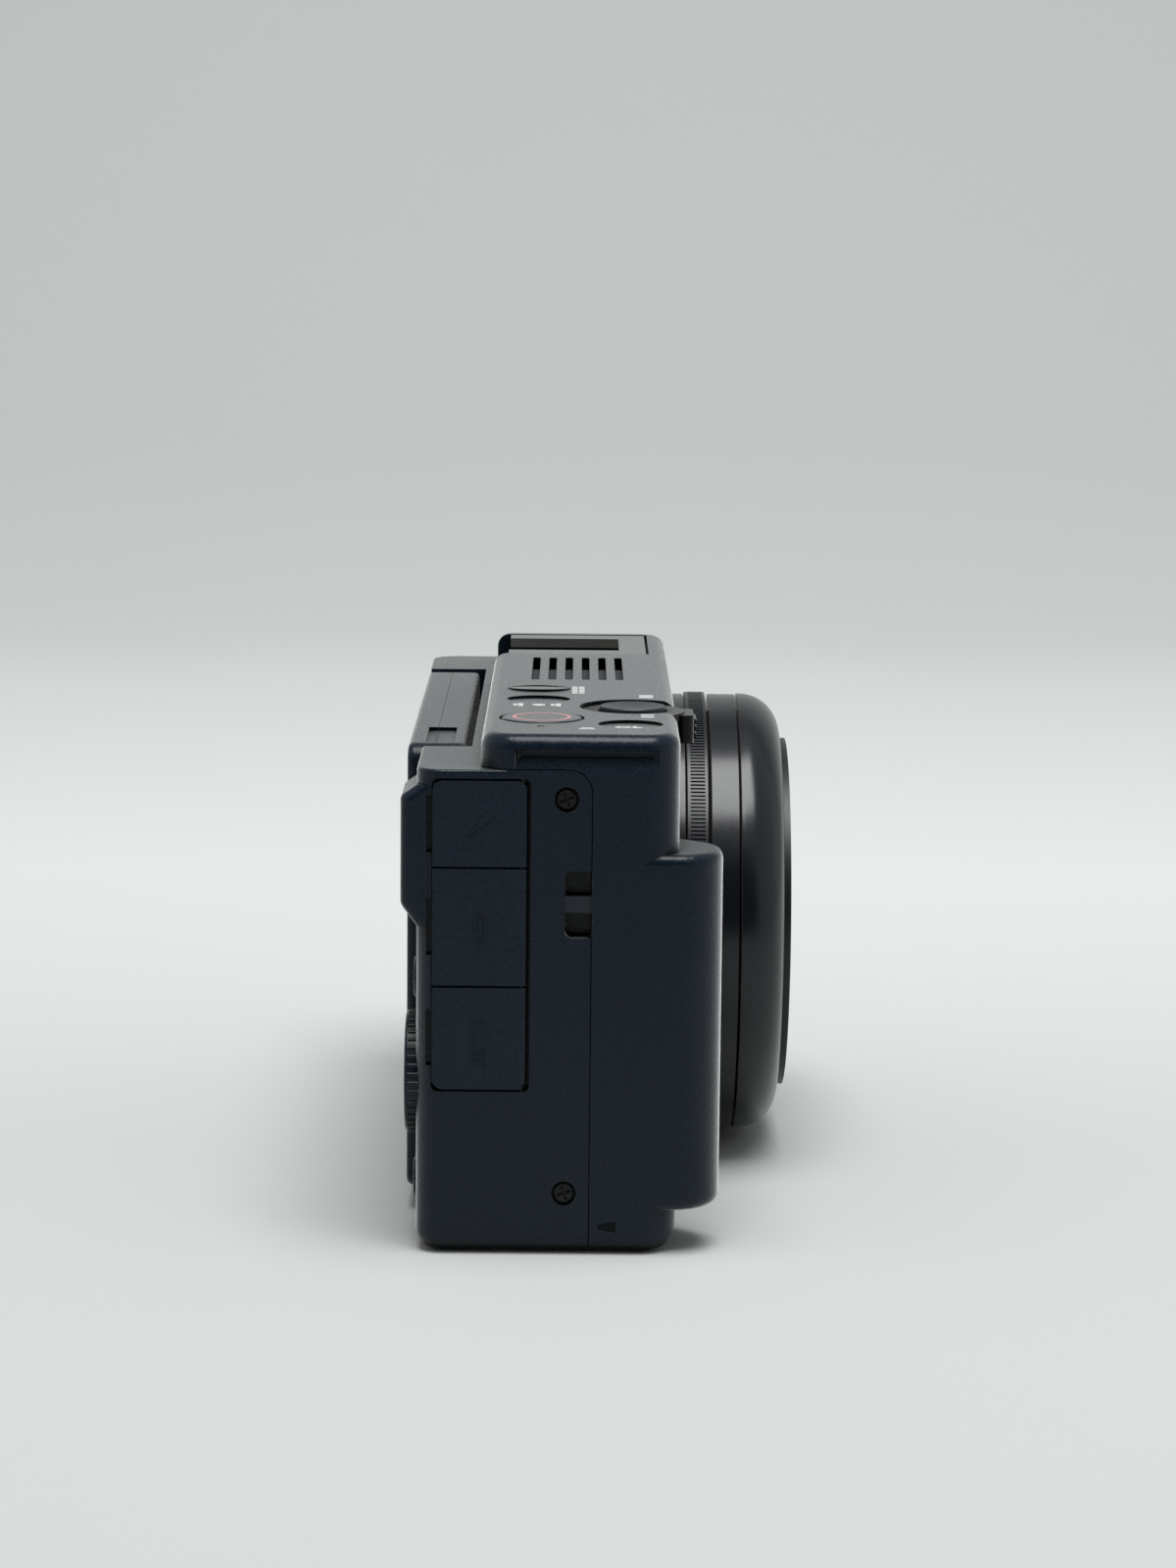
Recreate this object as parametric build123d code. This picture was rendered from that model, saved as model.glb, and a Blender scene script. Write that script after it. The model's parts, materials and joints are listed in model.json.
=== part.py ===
from build123d import *
import math
import os

# Compact vlogging camera standing on its base. Millimetres.
# +Z is up, the lens looks along -Y, the hand grip is on the -X side.
# The origin is the middle of the footprint at the height of the base.

# Body envelope
body_width = 105.5
near_x = -body_width / 2
far_x = body_width / 2
front_y = -8.35
rear_y = 21.4
shoulder_z = 56.0
deck_height = 4.0
deck_z = shoulder_z + deck_height
wall = 1.6
corner_radius = 3.0
front_corner_radius = 4.0
base_front_radius = 3.4
base_edge_radius = 2.6
shoulder_edge_radius = 0.4

# Clearances
seam_gap = 0.12
panel_gap = 0.25
button_gap = 0.2
pin_gap = 0.04
seat_gap = 0.05
running_gap = 0.3

# Seam between the front and the rear casing
seam_y = 1.5
seam_corner_radius = 2.6

# Raised top deck
deck_far_inset = 4.95
deck_far_x = far_x - deck_far_inset
deck_rear_y = 14.2
deck_end_extra = 0.9
deck_corner_radius = 4.0
deck_edge_radius = 1.6
deck_scoop_height = 2.7
deck_scoop_depth = 0.8
deck_scoop_drop = 1.65
deck_scoop_back_height = 0.9
deck_scoop_front_y = -6.0
deck_scoop_rear_y = 10.3

# Grip swelling on the front
grip_front_y = -13.4
grip_top_z = 46.4
grip_bottom_z = 5.1
grip_crown_inset = 9.0
grip_crown_x = near_x + grip_crown_inset
grip_root_inset = 14.75
grip_root_x = near_x + grip_root_inset
grip_nose_radius = 5.5
grip_flank_radius = 4.5
grip_top_radius = 1.1
grip_bottom_radius = 1.5

# Thumb rest on the rear
thumb_rear_y = 23.2
thumb_top_z = 54.15
thumb_bottom_z = 37.9
thumb_bevel = 1.3
thumb_fade = 2.6
thumb_near_inset = 0.35
thumb_width = 10.8
thumb_edge_radius = 1.1

# Side screws
screw_y = 4.44
screw_high_z = 52.7
screw_low_z = 7.25
screw_head_radius = 1.2
screw_recess_radius = 1.42
screw_head_height = 0.8
screw_sink = 0.35
screw_shank_radius = 0.8
screw_length = 2.6
screw_tab_half = 1.5
screw_tab_front_y = -3.2
screw_pad_half = 2.4
cross_width = 0.35
cross_depth = 0.45
cross_span = 1.7

# Strap lugs
lug_rear_y = 4.56
lug_low_z = 36.85
lug_high_z = 44.55
lug_depth = 2.2
lug_back = 0.8
lug_bar_z = 40.65
lug_bar_height = 1.85
lug_bar_thickness = 1.0
lug_bar_sink = 0.5

# Port doors on the near side
door_front_y = 8.7
door_rear_y = 19.54
door_base_z = 19.31
door_low_split_z = 31.19
door_high_split_z = 44.84
door_top_z = 54.77
door_thickness = 1.15
door_seat_depth = 1.6
door_corner_radius = 1.25
door_swing_room = 0.55
door_pocket_radius = door_corner_radius - door_swing_room
door_barrel_radius = 0.7
door_barrel_inset = 0.3
door_barrel_end_radius = 0.5
door_pin_radius = 0.3
door_pin_seat = 0.8
port_floor = 1.3
door_notch_width = 0.7
door_notch_height = 6.5
door_notch_depth = 1.3

# Sockets behind the doors
socket_y = 14.2
socket_length = 5.4
jack_outer_radius = 3.0
jack_bore_radius = 1.8
data_shell_height = 8.94
data_shell_width = 3.26
data_tongue_width = 0.7
data_tongue_height = 6.7
video_shell_height = 6.5
video_shell_width = 2.9
video_tongue_width = 0.8
video_tongue_height = 4.6
socket_wall = 0.3
socket_tongue_sink = 0.9
port_board_thickness = 1.0

# Small rubber cover for a mains cord, low on the near side
cord_cover_y = -0.5
cord_cover_z = 3.35
cord_cover_length = 1.9
cord_cover_height = 1.15
cord_cover_tip_height = 0.4
cord_cover_thickness = 1.2

# Display
display_near_inset = 19.35
display_near_x = near_x + display_near_inset
display_far_inset = 16.45
display_far_x = far_x - display_far_inset
display_front_y = 16.4
display_rear_y = 23.2
display_seam_y = 20.0
display_base_z = 2.7
display_top_z = 56.0
display_corner_radius = 2.2
display_edge_radius = 0.7
display_gap = 0.8
display_shell_wall = 1.1
bezel_side = 3.6
bezel_thickness = 1.6
glass_thickness = 0.7
glass_sink = 0.05
screen_module_thickness = 3.6
tab_inset = 2.4
tab_near_x = display_near_x + tab_inset
tab_width = 12.6
tab_far_x = tab_near_x + tab_width
tab_front_y = 17.8
tab_rear_y = 21.2
tab_depth = 0.4

# Display hinge
hinge_inset = 3.75
hinge_x = far_x - hinge_inset
hinge_y = 19.6
hinge_barrel_radius = 3.4
hinge_pin_radius = 1.2
hinge_pin_low_seat = 1.0
hinge_pin_high_seat = 0.8
hinge_block_width = 11.0
hinge_block_near_x = hinge_x - hinge_block_width
hinge_block_height = 6.2
arm_display_gap = 0.45
arm_near_x = display_far_x + arm_display_gap
tilt_shaft_z = 29.4
tilt_shaft_radius = 1.5
tilt_shaft_length = 7.0
tilt_shaft_arm_share = 4.0

# Lens, axis along Y
lens_x = 9.5
lens_z = 28.7
lens_tube_radius = 25.6
lens_tube_wall = 2.6
lens_flange_step = 1.4
lens_flange_radius = lens_tube_radius + lens_flange_step
lens_flange_thickness = 1.4
lens_tube_front_y = -20.2
base_ring_step = 2.15
base_ring_radius = lens_tube_radius + base_ring_step
base_ring_front_y = -10.0
control_ring_step = 2.4
control_ring_radius = lens_tube_radius + control_ring_step
control_ring_rear_y = -10.3
control_ring_front_y = -12.8
control_rib_count = 330
control_rib_depth = 0.2
barrel_ring_step = 2.15
barrel_ring_radius = lens_tube_radius + barrel_ring_step
barrel_ring_rear_y = -13.3
barrel_ring_front_y = -16.6
front_ring_step = 2.25
front_ring_radius = lens_tube_radius + front_ring_step
front_ring_rear_y = -16.95
front_ring_round = 5.0
front_ring_front_y = -22.35
filter_ring_tube_gap = 0.8
filter_ring_radius = lens_tube_radius - lens_tube_wall - filter_ring_tube_gap
filter_ring_front_y = -23.2
filter_ring_wall = 1.95
filter_thread_radius = filter_ring_radius - filter_ring_wall
filter_thread_depth = 2.8
filter_thread_step = 0.9
filter_ring_rear_y = -18.6
front_glass_radius = 12.4
front_glass_y = -18.95
front_glass_edge = 1.6
trim_thickness = 0.6
trim_gap = 0.1
trim_lip = 1.2
trim_drop = 0.35
optic_tube_wall = 1.4
optic_tube_rear_y = 1.6
optic_tube_front_y = -16.5
second_glass_radius = 9.4
second_glass_y = -12.6
rear_glass_radius = 8.2
rear_glass_y = -1.2
glass_edge = 2.0
glass_crown = 1.3
rear_glass_crown = 1.0
glass_rest_gap = 0.05
iris_y = -7.6
iris_thickness = 0.5
iris_opening = 4.2
iris_blade_count = 7
iris_blade_gap = 0.15

# Sensor and inner frame
sensor_width = 18.0
sensor_height = 13.6
sensor_thickness = 1.4
sensor_board_side = 30.0
sensor_board_thickness = 1.0
sensor_mount_radius = 17.5
sensor_mount_thickness = 1.2
chassis_y = 7.2
chassis_thickness = 0.9
chassis_holder_gap = 0.45
chassis_margin = 1.2
chassis_leg_radius = 1.8
chassis_collar_radius = 2.8
main_board_y = 9.4
main_board_thickness = 1.2
board_margin = 1.6
foot_thickness = 1.0
foot_length = 9.0

# Battery, card and door in the base
battery_near_inset = 4.55
battery_near_x = near_x + battery_near_inset
battery_lens_gap = 1.5
battery_width = lens_x - lens_flange_radius - battery_lens_gap - battery_near_x
battery_front_y = -5.2
battery_thickness = 9.2
battery_height = 42.7
battery_base_z = 2.2
battery_corner_radius = 1.6
holder_wall = 0.7
holder_gap = 0.25
card_width = 24.0
card_height = 32.0
card_thickness = 2.1
card_far_inset = 0.8
card_base_z = 2.6
card_case_wall = 0.35
card_contact_gap = 0.15
base_door_near_inset = 1.2
base_door_near_x = battery_near_x - base_door_near_inset
base_door_far_inset = 0.15
base_door_front_y = -5.3
base_door_rear_y = 9.4
base_door_thickness = 1.3
base_door_corner_radius = 1.0
base_door_barrel_radius = 0.75
base_door_pin_radius = 0.3
latch_length = 4.6
latch_width = 6.0
latch_thickness = 0.7
latch_travel = 1.8
latch_near_inset = 1.4
latch_rib_count = 4

# Tripod socket and base screws
tripod_x = lens_x
tripod_y = 8.6
tripod_hole_radius = 2.6
tripod_depth = 5.5
tripod_insert_radius = 4.4
tripod_flange_radius = 5.6
tripod_flange_height = 0.8
base_screw_radius = 1.3
base_screw_head_height = 0.7
base_screw_sink = 0.3
base_screw_near_inset = 5.0
base_screw_far_inset = 8.75
base_screw_front_y = -3.4
base_screw_rear_y = 10.6

# Accessory shoe
shoe_inset = 18.75
shoe_x = far_x - shoe_inset
shoe_inner_width = 18.7
shoe_slot_width = 12.6
shoe_side_wall = 0.95
shoe_lip = 1.2
shoe_inner_height = 2.1
shoe_floor = 0.6
shoe_front_y = -5.6
shoe_rear_y = 12.4
shoe_bridge_length = 3.5
shoe_groove = 0.35
shoe_spring_thickness = 0.25
shoe_spring_width = 2.6
shoe_spring_inset = 1.9
contact_block_length = 1.8
contact_block_height = 0.9
contact_count = 12

# Microphone grille
slot_shoe_gap = 15.0
slot_button_gap = 8.7
capsule_end_margin = 0.75
slot_first_y = 8.6
slot_pitch = 2.09
slot_width = 1.0
slot_count = 6
foam_thickness = 1.2
capsule_radius = 2.4

# Shutter button and zoom lever
shutter_inset = 24.85
shutter_x = near_x + shutter_inset
shutter_y = -3.2
shutter_radius = 3.9
shutter_top_z = 60.15
shutter_cap = 1.0
shutter_stem_radius = 1.6
shutter_dish = 0.35
collar_radius = 6.35
collar_depth = 1.35
collar_floor = 1.7
lever_ring_thickness = 0.85
lever_arm_width = 4.2
lever_tab_width = 6.0
lever_tab_depth = 2.1
lever_tab_height = 3.3
lever_tab_rise = -0.6
lever_tab_standoff = 0.25
lever_rib_count = 3
lever_rib_depth = 0.36
lever_recess = 0.6
lever_swing = 12

# Press buttons in the deck
record_inset = 14.55
record_x = near_x + record_inset
record_y = 7.45
record_radius = 4.97
oval_y = 8.0
defocus_inset = 40.55
defocus_x = near_x + defocus_inset
mode_inset = 31.15
mode_x = near_x + mode_inset
oval_length = 6.0
oval_width = 7.2
power_inset = 9.85
power_x = near_x + power_inset
power_y = -2.75
power_length = 6.4
power_width = 7.1
button_flange = 0.6
button_flange_drop = 0.25
record_rim_radius = 0.3
button_body = 2.8
button_sink = 0.12
oval_far_sink = 0.25
defocus_rise = 0.3
record_rise = 0.1
lamp_inset = 7.35
lamp_x = near_x + lamp_inset
lamp_y = 7.5
lamp_radius = 0.45

# Board under the deck
top_board_z = 55.0
top_board_thickness = 0.8
top_board_near_inset = 3.35
top_board_near_x = near_x + top_board_near_inset
top_board_far_margin = 1.2
top_post_radius = 1.4

# Rear controls
wheel_inset = 9.15
wheel_x = near_x + wheel_inset
wheel_z = 19.4
wheel_radius = 7.2
wheel_rear_y = 22.8
wheel_thickness = 1.9
wheel_hub_radius = 4.4
wheel_hub_length = 2.2
wheel_tooth_count = 42
wheel_tooth_radius = 0.32
centre_button_radius = 3.1
centre_button_rear_y = 22.5
rear_button_radius = 2.3
rear_button_rise = 0.35
menu_inset = 13.95
menu_x = near_x + menu_inset
menu_z = 35.0
function_inset = 5.85
function_x = near_x + function_inset
function_z = 31.2
lower_button_z = 7.6
playback_inset = 5.85
playback_x = near_x + playback_inset
delete_inset = 13.35
delete_x = near_x + delete_inset
key_board_thickness = 0.8
key_board_base_z = 3.2
key_board_top_z = 40.0
key_board_gap = 0.9

# Other small pieces
tally_inset = 27.25
tally_x = near_x + tally_inset
tally_z = 50.6
tally_radius = 1.7
tally_length = 2.6
speaker_y = 9.5
speaker_z = 28.0
speaker_radius = 3.9
speaker_thickness = 2.4
speaker_hole_radius = 0.45
speaker_hole_pitch = 1.7


def block(low_x, high_x, low_y, high_y, low_z, high_z):
    """A box given by its two corners."""
    middle = ((low_x + high_x) / 2, (low_y + high_y) / 2, (low_z + high_z) / 2)
    return Pos(*middle) * Box(high_x - low_x, high_y - low_y, high_z - low_z)


def rod_x(radius, y, z, low_x, high_x):
    """A round bar along X."""
    return Pos((low_x + high_x) / 2, y, z) * Rot(0, 90, 0) * Cylinder(radius, high_x - low_x)


def rod_y(radius, x, z, low_y, high_y):
    """A round bar along Y."""
    return Pos(x, (low_y + high_y) / 2, z) * Rot(90, 0, 0) * Cylinder(radius, high_y - low_y)


def rod_z(radius, x, y, low_z, high_z):
    """A round bar along Z."""
    return Pos(x, y, (low_z + high_z) / 2) * Cylinder(radius, high_z - low_z)


def plan_solid(points, low_z, high_z, radii):
    """Upright solid over a plan outline, with each corner rounded by its own radius."""
    face = make_face(Polyline(*points, close=True))
    for (x, y), radius in zip(points, radii):
        if radius > 0:
            corner = min(face.vertices(), key=lambda v: (v.X - x) ** 2 + (v.Y - y) ** 2)
            face = fillet(corner, radius)
    return Pos(0, 0, low_z) * extrude(face, high_z - low_z)


def side_solid(points, low_x, high_x, radii):
    """Solid along X over an outline of (y, z) points, with rounded corners."""
    flat = plan_solid(points, 0, high_x - low_x, radii)
    return Plane.YZ.offset(low_x) * flat


def front_solid(points, low_y, high_y, radii):
    """Solid along Y over an outline of (x, z) points, with rounded corners."""
    flat = plan_solid(points, 0, high_y - low_y, radii)
    return Pos(0, high_y, 0) * Rot(90, 0, 0) * flat


def rounded_block(low_x, high_x, low_y, high_y, low_z, high_z, radius):
    """Upright box with rounded vertical edges."""
    points = [(low_x, low_y), (high_x, low_y), (high_x, high_y), (low_x, high_y)]
    return plan_solid(points, low_z, high_z, [radius] * 4)


def turned(profile):
    """Solid of revolution about the lens axis, from (radius, y) points."""
    face = make_face(Polyline(*[(radius, y) for radius, y in profile], close=True))
    solid = revolve(face, Axis.Y)
    return Pos(lens_x, 0, lens_z) * solid


def ring_y(outer, inner, low_y, high_y):
    """Plain ring about the lens axis."""
    return rod_y(outer, lens_x, lens_z, low_y, high_y) - rod_y(inner, lens_x, lens_z, low_y - 1, high_y + 1)


def oval_solid(x, y, length, width, low_z, high_z):
    """Elliptical button or pocket, its length along X and its width along Y."""
    return Pos(x, y, low_z) * extrude(Ellipse(length / 2, width / 2), high_z - low_z)


def save(name, solid):
    """Write one piece, or one group of like pieces, under its own name."""
    solid.label = name
    export_step(solid, f"parts/{name}.step")


# Places that follow from the sizes above
inner_near_x = near_x + wall
inner_far_x = far_x - wall
inner_front_y = front_y + wall
inner_rear_y = rear_y - wall
display_wall_y = display_front_y - display_gap
centre_rear_y = display_wall_y - wall
column_far_x = display_near_x - display_gap
column_wall_x = column_far_x - wall
display_bay_base_z = display_base_z - running_gap
deck_ceiling_z = deck_z - wall
button_flange_z = deck_ceiling_z - button_gap - button_flange_drop
deck_cavity_far_x = shoe_x - shoe_inner_width / 2 - shoe_side_wall - shoe_groove - wall
shoe_half = shoe_inner_width / 2 + shoe_side_wall
shoe_base_z = shoulder_z + seat_gap
collar_floor_z = deck_z - collar_depth
collar_boss_z = collar_floor_z - collar_floor
door_seat_x = near_x + door_seat_depth
port_floor_x = door_seat_x + port_floor
battery_far_x = battery_near_x + battery_width
holder_far_x = battery_far_x + holder_gap + holder_wall
chassis_near_x = holder_far_x + chassis_holder_gap
base_door_far_x = holder_far_x + base_door_far_inset
card_far_x = battery_far_x - card_far_inset
card_near_x = card_far_x - card_width
slot_near_x = defocus_x + slot_button_gap
slot_far_x = shoe_x - slot_shoe_gap
capsule_pitch = (slot_far_x - slot_near_x - 2 * capsule_end_margin) / 3
top_board_far_x = slot_far_x + top_board_far_margin
base_screw_far_x = far_x - base_screw_far_inset
lug_ranges = [(near_x, 1), (far_x, -1)]
screw_heights = [screw_low_z, screw_high_z]


def body_envelope():
    """Outside of the closed camera body, without lens and display."""
    plan = [(near_x, front_y), (far_x, front_y), (far_x, rear_y), (near_x, rear_y)]
    main = plan_solid(plan, 0, shoulder_z, [front_corner_radius] * 2 + [corner_radius] * 2)
    main = fillet(main.edges().group_by(Axis.Z)[0], base_edge_radius)
    main = fillet(main.edges().group_by(Axis.Z)[-1], shoulder_edge_radius)
    profile = [(front_y, 0), (rear_y, 0), (rear_y, shoulder_z), (front_y, shoulder_z)]
    main &= side_solid(profile, near_x, far_x, [base_front_radius, 0, 0, 0])
    return main + deck() + grip() + thumb_rest()


def deck():
    """Raised top with a softly rounded rim."""
    points = [(near_x, front_y), (deck_far_x, front_y), (deck_far_x, deck_rear_y), (near_x, deck_rear_y)]
    radii = [front_corner_radius, deck_corner_radius, deck_corner_radius / 2, deck_corner_radius]
    slab = plan_solid(points, shoulder_z - wall, deck_z, radii)
    return fillet(slab.edges().group_by(Axis.Z)[-1], deck_edge_radius)


def grip():
    """Swelling for the fingers on the front, flush with the near side."""
    points = [
        (near_x, 0),
        (near_x, grip_front_y),
        (grip_crown_x, grip_front_y),
        (grip_root_x, inner_front_y),
        (grip_root_x, 0),
    ]
    solid = plan_solid(points, grip_bottom_z, grip_top_z, [0, grip_nose_radius, grip_flank_radius, 0, 0])
    solid = fillet(solid.edges().group_by(Axis.Z)[-1], grip_top_radius)
    return fillet(solid.edges().group_by(Axis.Z)[0], grip_bottom_radius)


def grip_cavity():
    """Hollow of the grip, one wall inside its outside."""
    points = [
        (inner_near_x, 0),
        (inner_near_x, grip_front_y + wall),
        (grip_crown_x - wall / 2, grip_front_y + wall),
        (grip_root_x - wall, inner_front_y + wall),
        (grip_root_x - wall, 0),
    ]
    radii = [0, grip_nose_radius - wall, grip_flank_radius - wall, 0, 0]
    return plan_solid(points, grip_bottom_z + wall, grip_top_z - wall, radii)


def thumb_rest():
    """Raised pad for the thumb on the rear, beside the display."""
    outline = [
        (inner_rear_y, thumb_top_z),
        (rear_y - 0.1, thumb_top_z),
        (thumb_rear_y, thumb_top_z - thumb_bevel),
        (thumb_rear_y, thumb_bottom_z + thumb_fade),
        (rear_y - 0.1, thumb_bottom_z),
        (inner_rear_y, thumb_bottom_z),
    ]
    low_x = near_x + thumb_near_inset
    pad = side_solid(outline, low_x, low_x + thumb_width, [0, 0, 0.8, 1.5, 0, 0])
    rims = pad.faces().filter_by(Axis.X).edges().filter_by(lambda e: e.center().Y > rear_y)
    return fillet(rims, thumb_edge_radius)


def scoop():
    """Hollow under the rim of the deck's near end, steep above and fading out below."""
    top = deck_z - deck_scoop_drop
    deep_x = near_x + deck_scoop_depth
    profile = [
        (near_x - 1, top),
        (deep_x, top),
        (deep_x, top - deck_scoop_back_height),
        (near_x, top - deck_scoop_height),
        (near_x - 1, top - deck_scoop_height),
    ]
    groove = front_solid(profile, deck_scoop_front_y, deck_scoop_rear_y, [0, deck_scoop_depth / 2, 0.6, 0, 0])
    plan = [
        (near_x - 1, deck_scoop_front_y),
        (deep_x, deck_scoop_front_y),
        (deep_x, deck_scoop_rear_y),
        (near_x - 1, deck_scoop_rear_y),
    ]
    ends = plan_solid(plan, top - deck_scoop_height, top, [0, deck_scoop_depth, deck_scoop_depth, 0])
    return groove & ends


def display_bay():
    """Space behind the body for the display, its arm and its hinge."""
    bay = block(column_far_x, far_x + 1, display_wall_y, rear_y + 5, display_bay_base_z, shoulder_z + 1)
    behind_deck = block(column_far_x, far_x + 1, display_wall_y, rear_y + 5, shoulder_z - 1, deck_z)
    return bay + behind_deck


def hinge_block(low_z, high_z):
    """Fixed knuckle of the display hinge, joined to the rear wall."""
    web = block(hinge_block_near_x, hinge_x, centre_rear_y, hinge_y + hinge_barrel_radius, low_z, high_z)
    barrel = rod_z(hinge_barrel_radius, hinge_x, hinge_y, low_z, high_z)
    heel = block(hinge_x, hinge_x + hinge_barrel_radius, centre_rear_y, hinge_y, low_z, high_z)
    return web + barrel + heel


def hinge_blocks():
    """The lower and the upper fixed knuckle."""
    lower = hinge_block(display_bay_base_z - 0.4, display_bay_base_z + hinge_block_height)
    upper = hinge_block(shoulder_z - hinge_block_height, shoulder_z)
    return lower + upper


def cavity():
    """Hollow inside of the body."""
    plan = [
        (inner_near_x, inner_front_y),
        (column_wall_x, inner_front_y),
        (column_wall_x, inner_rear_y),
        (inner_near_x, inner_rear_y),
    ]
    column = plan_solid(plan, wall, shoulder_z - wall, [front_corner_radius - wall, 0, 0, 0])
    centre = block(column_wall_x - 1, inner_far_x, inner_front_y, centre_rear_y, wall, shoulder_z - wall)
    under_deck = block(
        inner_near_x + deck_end_extra,
        deck_cavity_far_x,
        inner_front_y,
        deck_rear_y - wall,
        shoulder_z - wall - 1,
        deck_ceiling_z,
    )
    return column + centre + under_deck + grip_cavity()


def seam_profile(gap):
    """Outline in Y and Z of everything in front of and above the seam, grown by a gap."""
    top = shoulder_z + seam_gap - gap
    return [(-40, -10), (seam_y + gap, -10), (seam_y + gap, top), (60, top), (60, 90), (-40, 90)]


def front_region(gap):
    """All the space that belongs to the front casing."""
    radii = [0, 0, seam_corner_radius - gap, 0, 0, 0]
    return side_solid(seam_profile(gap), near_x - 5, far_x + 5, radii)


def port_block():
    """Thick wall that carries the three port doors."""
    return block(
        near_x + wall / 2,
        port_floor_x,
        door_front_y - 1.2,
        door_rear_y + 0.2,
        door_base_z - 1.5,
        shoulder_z - wall / 2,
    )


def door_outline(low_y, high_y, low_z, high_z, radius, low_x, high_x):
    """Plate on the near side with rounded corners."""
    points = [(low_y, low_z), (high_y, low_z), (high_y, high_z), (low_y, high_z)]
    return side_solid(points, low_x, high_x, [radius] * 4)


def door_seat():
    """Shallow pocket for the three doors, with finger notches along its rear edge."""
    pocket = door_outline(
        door_front_y - panel_gap,
        door_rear_y + panel_gap / 2,
        door_base_z - panel_gap,
        door_top_z + panel_gap,
        door_pocket_radius,
        near_x - 1,
        door_seat_x,
    )
    for middle_z in socket_middles():
        pocket += block(
            near_x - 1,
            near_x + door_notch_depth,
            door_rear_y - 0.5,
            door_rear_y + door_notch_width,
            middle_z - door_notch_height / 2,
            middle_z + door_notch_height / 2,
        )
    return pocket


def socket_middles():
    """Middle height of the socket behind each door, from the top down."""
    return [
        (door_high_split_z + door_top_z) / 2,
        (door_low_split_z + door_high_split_z) / 2,
        (door_base_z + door_low_split_z) / 2,
    ]


def upright_slot(width, height, low_x, high_x, z):
    """Rounded slot along X, tall in Z, centred on a socket."""
    return door_outline(
        socket_y - width / 2,
        socket_y + width / 2,
        z - height / 2,
        z + height / 2,
        width / 2 - 0.01,
        low_x,
        high_x,
    )


def socket_holes():
    """Openings in the floor of the door pocket, one for each socket."""
    jack_z, data_z, video_z = socket_middles()
    grown = 2 * (socket_wall + seat_gap)
    holes = rod_x(jack_outer_radius + seat_gap, socket_y, jack_z, near_x, port_floor_x + 1)
    slots = [(data_shell_width, data_shell_height, data_z), (video_shell_width, video_shell_height, video_z)]
    for width, height, z in slots:
        holes += upright_slot(width + grown, height + grown, near_x, port_floor_x + 1, z)
    return holes


def door_pin_x():
    """Place of the door pin across the body."""
    return near_x + door_barrel_radius


def door_pin_y():
    """Place of the door pin along the side."""
    return door_front_y + door_barrel_radius


def side_screw_cuts():
    """Recess and clearance hole for each side screw."""
    cuts = []
    for side_x, inward in lug_ranges:
        for z in screw_heights:
            seat_x = side_x + inward * (screw_sink + screw_head_height + seat_gap)
            cuts.append(rod_x(screw_recess_radius, screw_y, z, *sorted((side_x - inward, seat_x))))
            hole_x = side_x + inward * (screw_length + 2)
            cuts.append(rod_x(screw_shank_radius + seat_gap, screw_y, z, *sorted((side_x, hole_x))))
    return cuts


def side_screw_pads():
    """Thick pads of the rear casing under the side screw heads."""
    pads = []
    for side_x, inward in lug_ranges:
        for z in screw_heights:
            low, high = sorted((side_x + inward * wall / 2, side_x + inward * (wall + 0.8)))
            rear = screw_y + screw_pad_half
            pads.append(block(low, high, seam_y + seam_gap, rear, z - screw_pad_half, z + screw_pad_half))
    return pads


def side_screw_tabs():
    """Tabs of the front casing that the side screws bite into."""
    tabs = []
    for side_x, inward in lug_ranges:
        for z in screw_heights:
            start = side_x + inward * (wall + 0.8 + seat_gap)
            stop = side_x + inward * (screw_length + 1.6)
            root = side_x + inward * wall / 2
            low_z = z - screw_tab_half
            high_z = z + screw_tab_half
            rear = screw_y + screw_pad_half
            tabs.append(block(*sorted((start, stop)), screw_tab_front_y, rear, low_z, high_z))
            tabs.append(block(*sorted((root, stop)), screw_tab_front_y, seam_y - 0.5, low_z, high_z))
    return tabs


def lug_pockets():
    """Recess for each strap lug, open at the seam."""
    pockets = []
    for side_x, inward in lug_ranges:
        low, high = sorted((side_x - inward, side_x + inward * lug_depth))
        front = seam_y - 0.01
        points = [(front, lug_low_z), (lug_rear_y, lug_low_z), (lug_rear_y, lug_high_z), (front, lug_high_z)]
        pockets.append(side_solid(points, low, high, [0, 0.8, 0.8, 0]))
    return pockets


def lug_boxes():
    """Closed back of each strap recess, one wall thick."""
    boxes = []
    for side_x, inward in lug_ranges:
        low, high = sorted((side_x + inward * wall / 2, side_x + inward * (lug_depth + lug_back)))
        boxes.append(block(low, high, seam_y + seam_gap, lug_rear_y + 1, lug_low_z - 1, lug_high_z + 1))
    return boxes


def lens_hole():
    """Round hole in the front wall for the lens."""
    return rod_y(lens_tube_radius + seat_gap, lens_x, lens_z, front_y - 5, inner_front_y + 1)


def base_door_cut():
    """Opening in the base for the battery door, with its hinge pocket."""
    panel = rounded_block(
        base_door_near_x - panel_gap,
        base_door_far_x + panel_gap,
        base_door_front_y - panel_gap,
        base_door_rear_y + panel_gap,
        -1,
        wall + 1,
        base_door_corner_radius,
    )
    return panel + rod_y(
        base_door_pin_radius + pin_gap,
        base_door_far_x - base_door_barrel_radius,
        base_door_barrel_radius,
        base_door_front_y - 1.8,
        base_door_rear_y + 1.8,
    )


def base_screw_places():
    """Middle of each screw in the base."""
    columns = (chassis_near_x + base_screw_near_inset, base_screw_far_x)
    return [(x, y) for y in (base_screw_front_y, base_screw_rear_y) for x in columns]


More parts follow.
